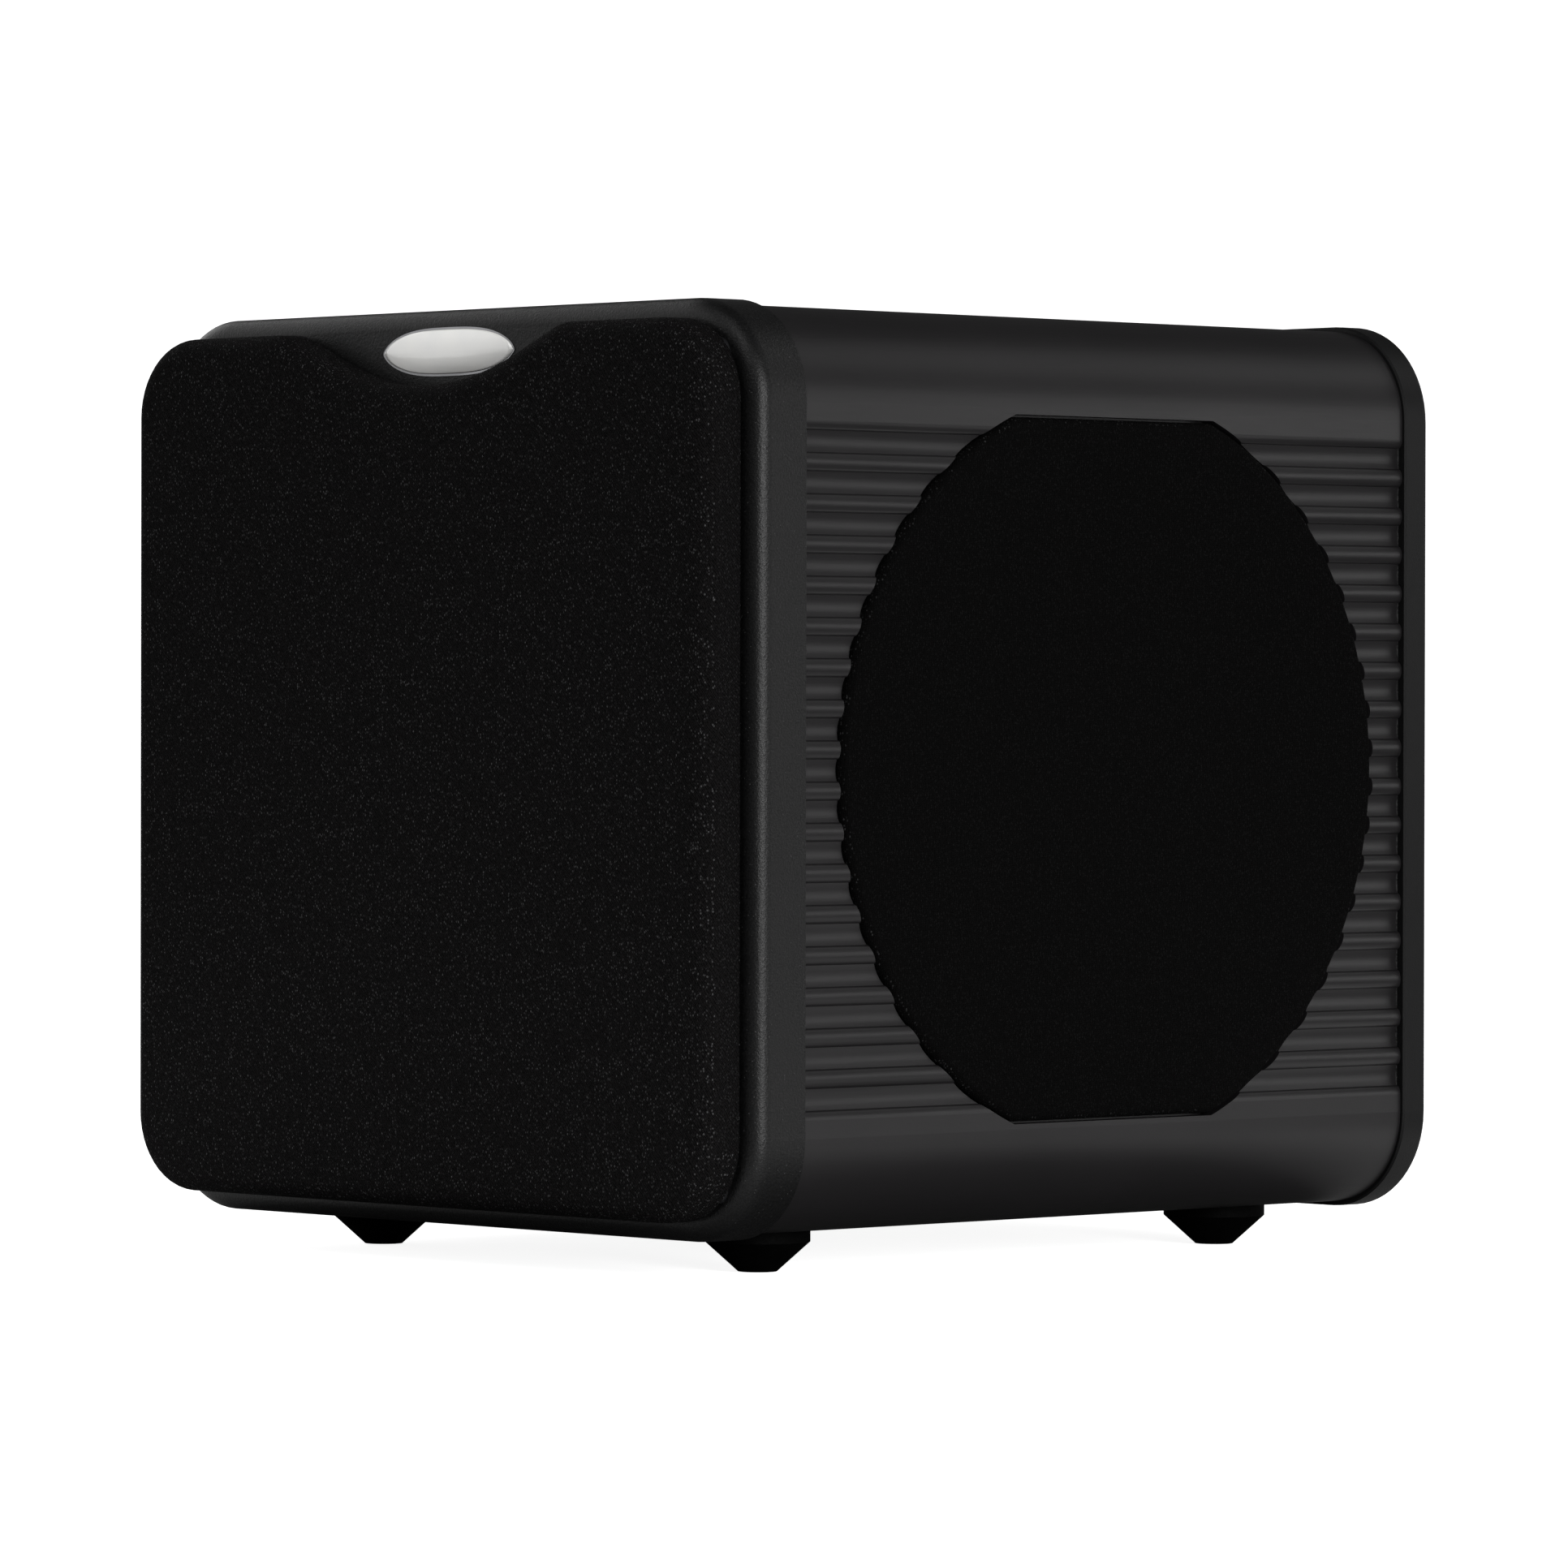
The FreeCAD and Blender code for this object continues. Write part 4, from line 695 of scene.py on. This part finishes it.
def badge_dome():
    """Domed lens with rounded ends, plain: it carries no lettering."""
    verts = []
    faces = []
    for ring in range(BADGE_RINGS + 1):
        share = 1.0 - ring / BADGE_RINGS
        height = BADGE_WALL + (BADGE_RISE - BADGE_WALL) * (1 - share ** 2.4)
        for k in range(BADGE_AROUND):
            angle = 2 * math.pi * k / BADGE_AROUND
            x = math.cos(angle)
            width = (1 - abs(x) ** 3) ** 0.65
            z = width * (1 if math.sin(angle) >= 0 else -1)
            verts.append((BADGE_HALF_L * share * x * MM, BADGE_SEAT_Y - height * MM,
                          MID_Z + (BADGE_UP + BADGE_HALF_H * share * z) * MM))
    skirt = len(verts)
    for x, _, z in verts[:BADGE_AROUND]:
        verts.append((x, BADGE_SEAT_Y - 0.02 * MM, z))
    for k in range(BADGE_AROUND):
        on = (k + 1) % BADGE_AROUND
        for ring in range(BADGE_RINGS):
            near = ring * BADGE_AROUND
            far = near + BADGE_AROUND
            faces.append((near + k, near + on, far + on, far + k))
        faces.append((skirt + k, skirt + on, on, k))
    obj = new_object("badge_face", verts, faces)
    bm = bmesh.new()
    bm.from_mesh(obj.data)
    bmesh.ops.remove_doubles(bm, verts=bm.verts, dist=1e-6)
    bm.to_mesh(obj.data)
    bm.free()
    face_outwards(obj)
    return obj


def dress(obj, slot_name, body, node, look=None):
    """Finishes a piece, lets it ride on its body when one is given, and puts it in its node's place."""
    obj.data.materials.clear()
    obj.data.materials.append(FINISHES[look or slot_name])
    if body is not None:
        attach(obj, body)
    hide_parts(node)


dress(front_cloth(), "grille_cloth", "front_grille", "front_grille_cloth")
# The side cloths take side_cloth, the grille cloth darkened by painted shade, instead of their slot's
# grille_cloth.
for side_name, side_sign in (("left", -1), ("right", 1)):
    dress(side_cloth(side_name, side_sign), "grille_cloth", side_name + "_grille",
          side_name + "_grille_cloth", look="side_cloth")

dress(badge_dome(), "badge_pearl", "cabinet", "badge_dome")

driver_roll = turned_ring("driver_roll", roll_section(56.5, 59.6, 73.4, 77.0, 7.7), driver_place)
flex_between(driver_roll)
dress(driver_roll, "rubber", None, "driver_surround")

driver_disc = turned_ring("driver_centring_disc", spider_section(), driver_place)
flex_between(driver_disc)
dress(driver_disc, "spider_cloth", None, "driver_spider")

for side_name, side_sign in (("left", -1), ("right", 1)):
    def side_place(a, b, height, sign=side_sign):
        return (sign * (RADIATOR_X + height * MM), RADIATOR_Y + a * MM, MID_Z + b * MM)

    roll = turned_ring(side_name + "_radiator_roll", roll_section(50.0, 54.6, 67.4, 73.4, 7.2),
                       side_place)
    flex_between(roll)
    dress(roll, "rubber", None, side_name + "_radiator_surround")

# ---------------------------------------------------------------------------------------------
# Stage, light and camera
# ---------------------------------------------------------------------------------------------


AMBIENT = 0.05  # the room's own light; the backdrop itself is white
FLOOR_GLOW = 1.4  # light that the floor sends back from a ring round the object
FLOOR_SEEN = 0.9  # how bright the floor looks by itself
FLOOR_GAP = 0.0002  # keeps the floor just under the feet


def stage_sweep():
    """White floor that curves up behind the object."""
    depth, rise, radius, half = 4.0, 4.0, 1.5, 6.0
    profile = [(-6.0, 0.0), (depth - radius, 0.0)]
    for k in range(1, 17):
        angle = math.pi / 2 * k / 16
        profile.append((depth - radius + radius * math.sin(angle), radius * (1 - math.cos(angle))))
    profile.append((depth, rise))
    heading = Vector((-0.73098, 0.68233, 0)).normalized()
    across = Vector((heading.y, -heading.x, 0))
    verts = []
    faces = []
    for along, height in profile:
        for side in (-half, half):
            spot = heading * along + across * side
            verts.append((spot.x, spot.y, height - FLOOR_GAP))
    for k in range(len(profile) - 1):
        faces.append((2 * k, 2 * k + 1, 2 * k + 3, 2 * k + 2))
    obj = new_object("floor", verts, faces)
    f = Finish("floor_white")
    pale = f.blend(f.noise(0.002, 2.0), (0.93, 0.93, 0.93), (0.96, 0.96, 0.96))
    seen = f.camera_ray()
    glow = f.math("MULTIPLY", f.band(f.reach(), 140.0, 220.0, 0.0, FLOOR_GLOW),
                  f.band(f.reach(), 230.0, 330.0, 1.0, 0.04))
    f.set(Base_Color=f.blend(seen, (0.1, 0.1, 0.1), pale), Roughness=0.8, Specular_IOR_Level=0.1,
          Emission_Color=(1.0, 1.0, 1.0),
          Emission_Strength=f.math("ADD", f.math("MULTIPLY", seen, FLOOR_SEEN),
                                   f.math("MULTIPLY", glow, f.math("SUBTRACT", 1.0, seen))))
    obj.data.materials.append(f.mat)
    return obj


stage_sweep()


def soft_box(name, azimuth, elevation, distance, width, height, radiance):
    """Rectangular panel light aimed at the object from a bearing; radiance is its surface brightness."""
    lamp = bpy.data.lights.new(name, "AREA")
    lamp.shape = "RECTANGLE"
    lamp.size = width
    lamp.size_y = height
    lamp.energy = radiance * math.pi * width * height
    obj = bpy.data.objects.new(name, lamp)
    bpy.context.collection.objects.link(obj)
    turn, lift = math.radians(azimuth), math.radians(elevation)
    way = Vector((math.cos(turn) * math.cos(lift), math.sin(turn) * math.cos(lift), math.sin(lift)))
    obj.location = Vector((0.0, 0.0, MID_Z)) + way * distance
    obj.rotation_mode = "QUATERNION"
    obj.rotation_quaternion = way.to_track_quat("Z", "Y")
    obj.visible_camera = False


soft_box("key", -16.0, 6.0, 2.4, 0.6, 1.1, 34.0)
soft_box("rear_right", 45.0, 4.0, 3.0, 2.6, 0.9, 2.7)
soft_box("rear_high", 45.0, 42.0, 3.0, 2.6, 1.2, 0.72)
soft_box("front_left", -142.0, 18.0, 3.0, 2.4, 2.2, 1.2)
soft_box("front_top", -80.0, 46.0, 2.4, 1.4, 1.0, 3.6)
soft_box("behind", 85.0, 20.0, 3.0, 1.2, 1.2, 2.0)
soft_box("left_side", 176.0, 22.0, 3.0, 1.8, 1.8, 2.2)

world = bpy.data.worlds.new("studio")
bpy.context.scene.world = world
world.use_nodes = True
sky = world.node_tree.nodes["Background"]
sky.inputs["Color"].default_value = (1.0, 1.0, 1.0, 1.0)
seen_share = world.node_tree.nodes.new("ShaderNodeMapRange")
seen_share.inputs["To Min"].default_value = AMBIENT
path = world.node_tree.nodes.new("ShaderNodeLightPath")
world.node_tree.links.new(path.outputs["Is Camera Ray"], seen_share.inputs["Value"])
world.node_tree.links.new(seen_share.outputs["Result"], sky.inputs["Strength"])

camera = bpy.data.cameras.new("camera")
camera.sensor_width = 36.0
camera.lens = 191.87
camera.clip_start = 0.05
camera.clip_end = 50.0
camera_obj = bpy.data.objects.new("camera", camera)
bpy.context.collection.objects.link(camera_obj)
azimuth = math.radians(46.972)
roll_angle = math.radians(0.115)
forward = Vector((-0.73098, 0.68233, -0.01012)).normalized()
level = Vector((math.cos(azimuth), math.sin(azimuth), 0.0))
upright = level.cross(forward).normalized()
right = level * math.cos(roll_angle) + upright * math.sin(roll_angle)
top = upright * math.cos(roll_angle) - level * math.sin(roll_angle)
turn = Matrix((right, top, -forward)).transposed()
camera_obj.matrix_world = Matrix.Translation((1.53495, -1.43169, 0.13686)) @ turn.to_4x4()
bpy.context.scene.camera = camera_obj
bpy.context.scene.view_settings.view_transform = "Standard"
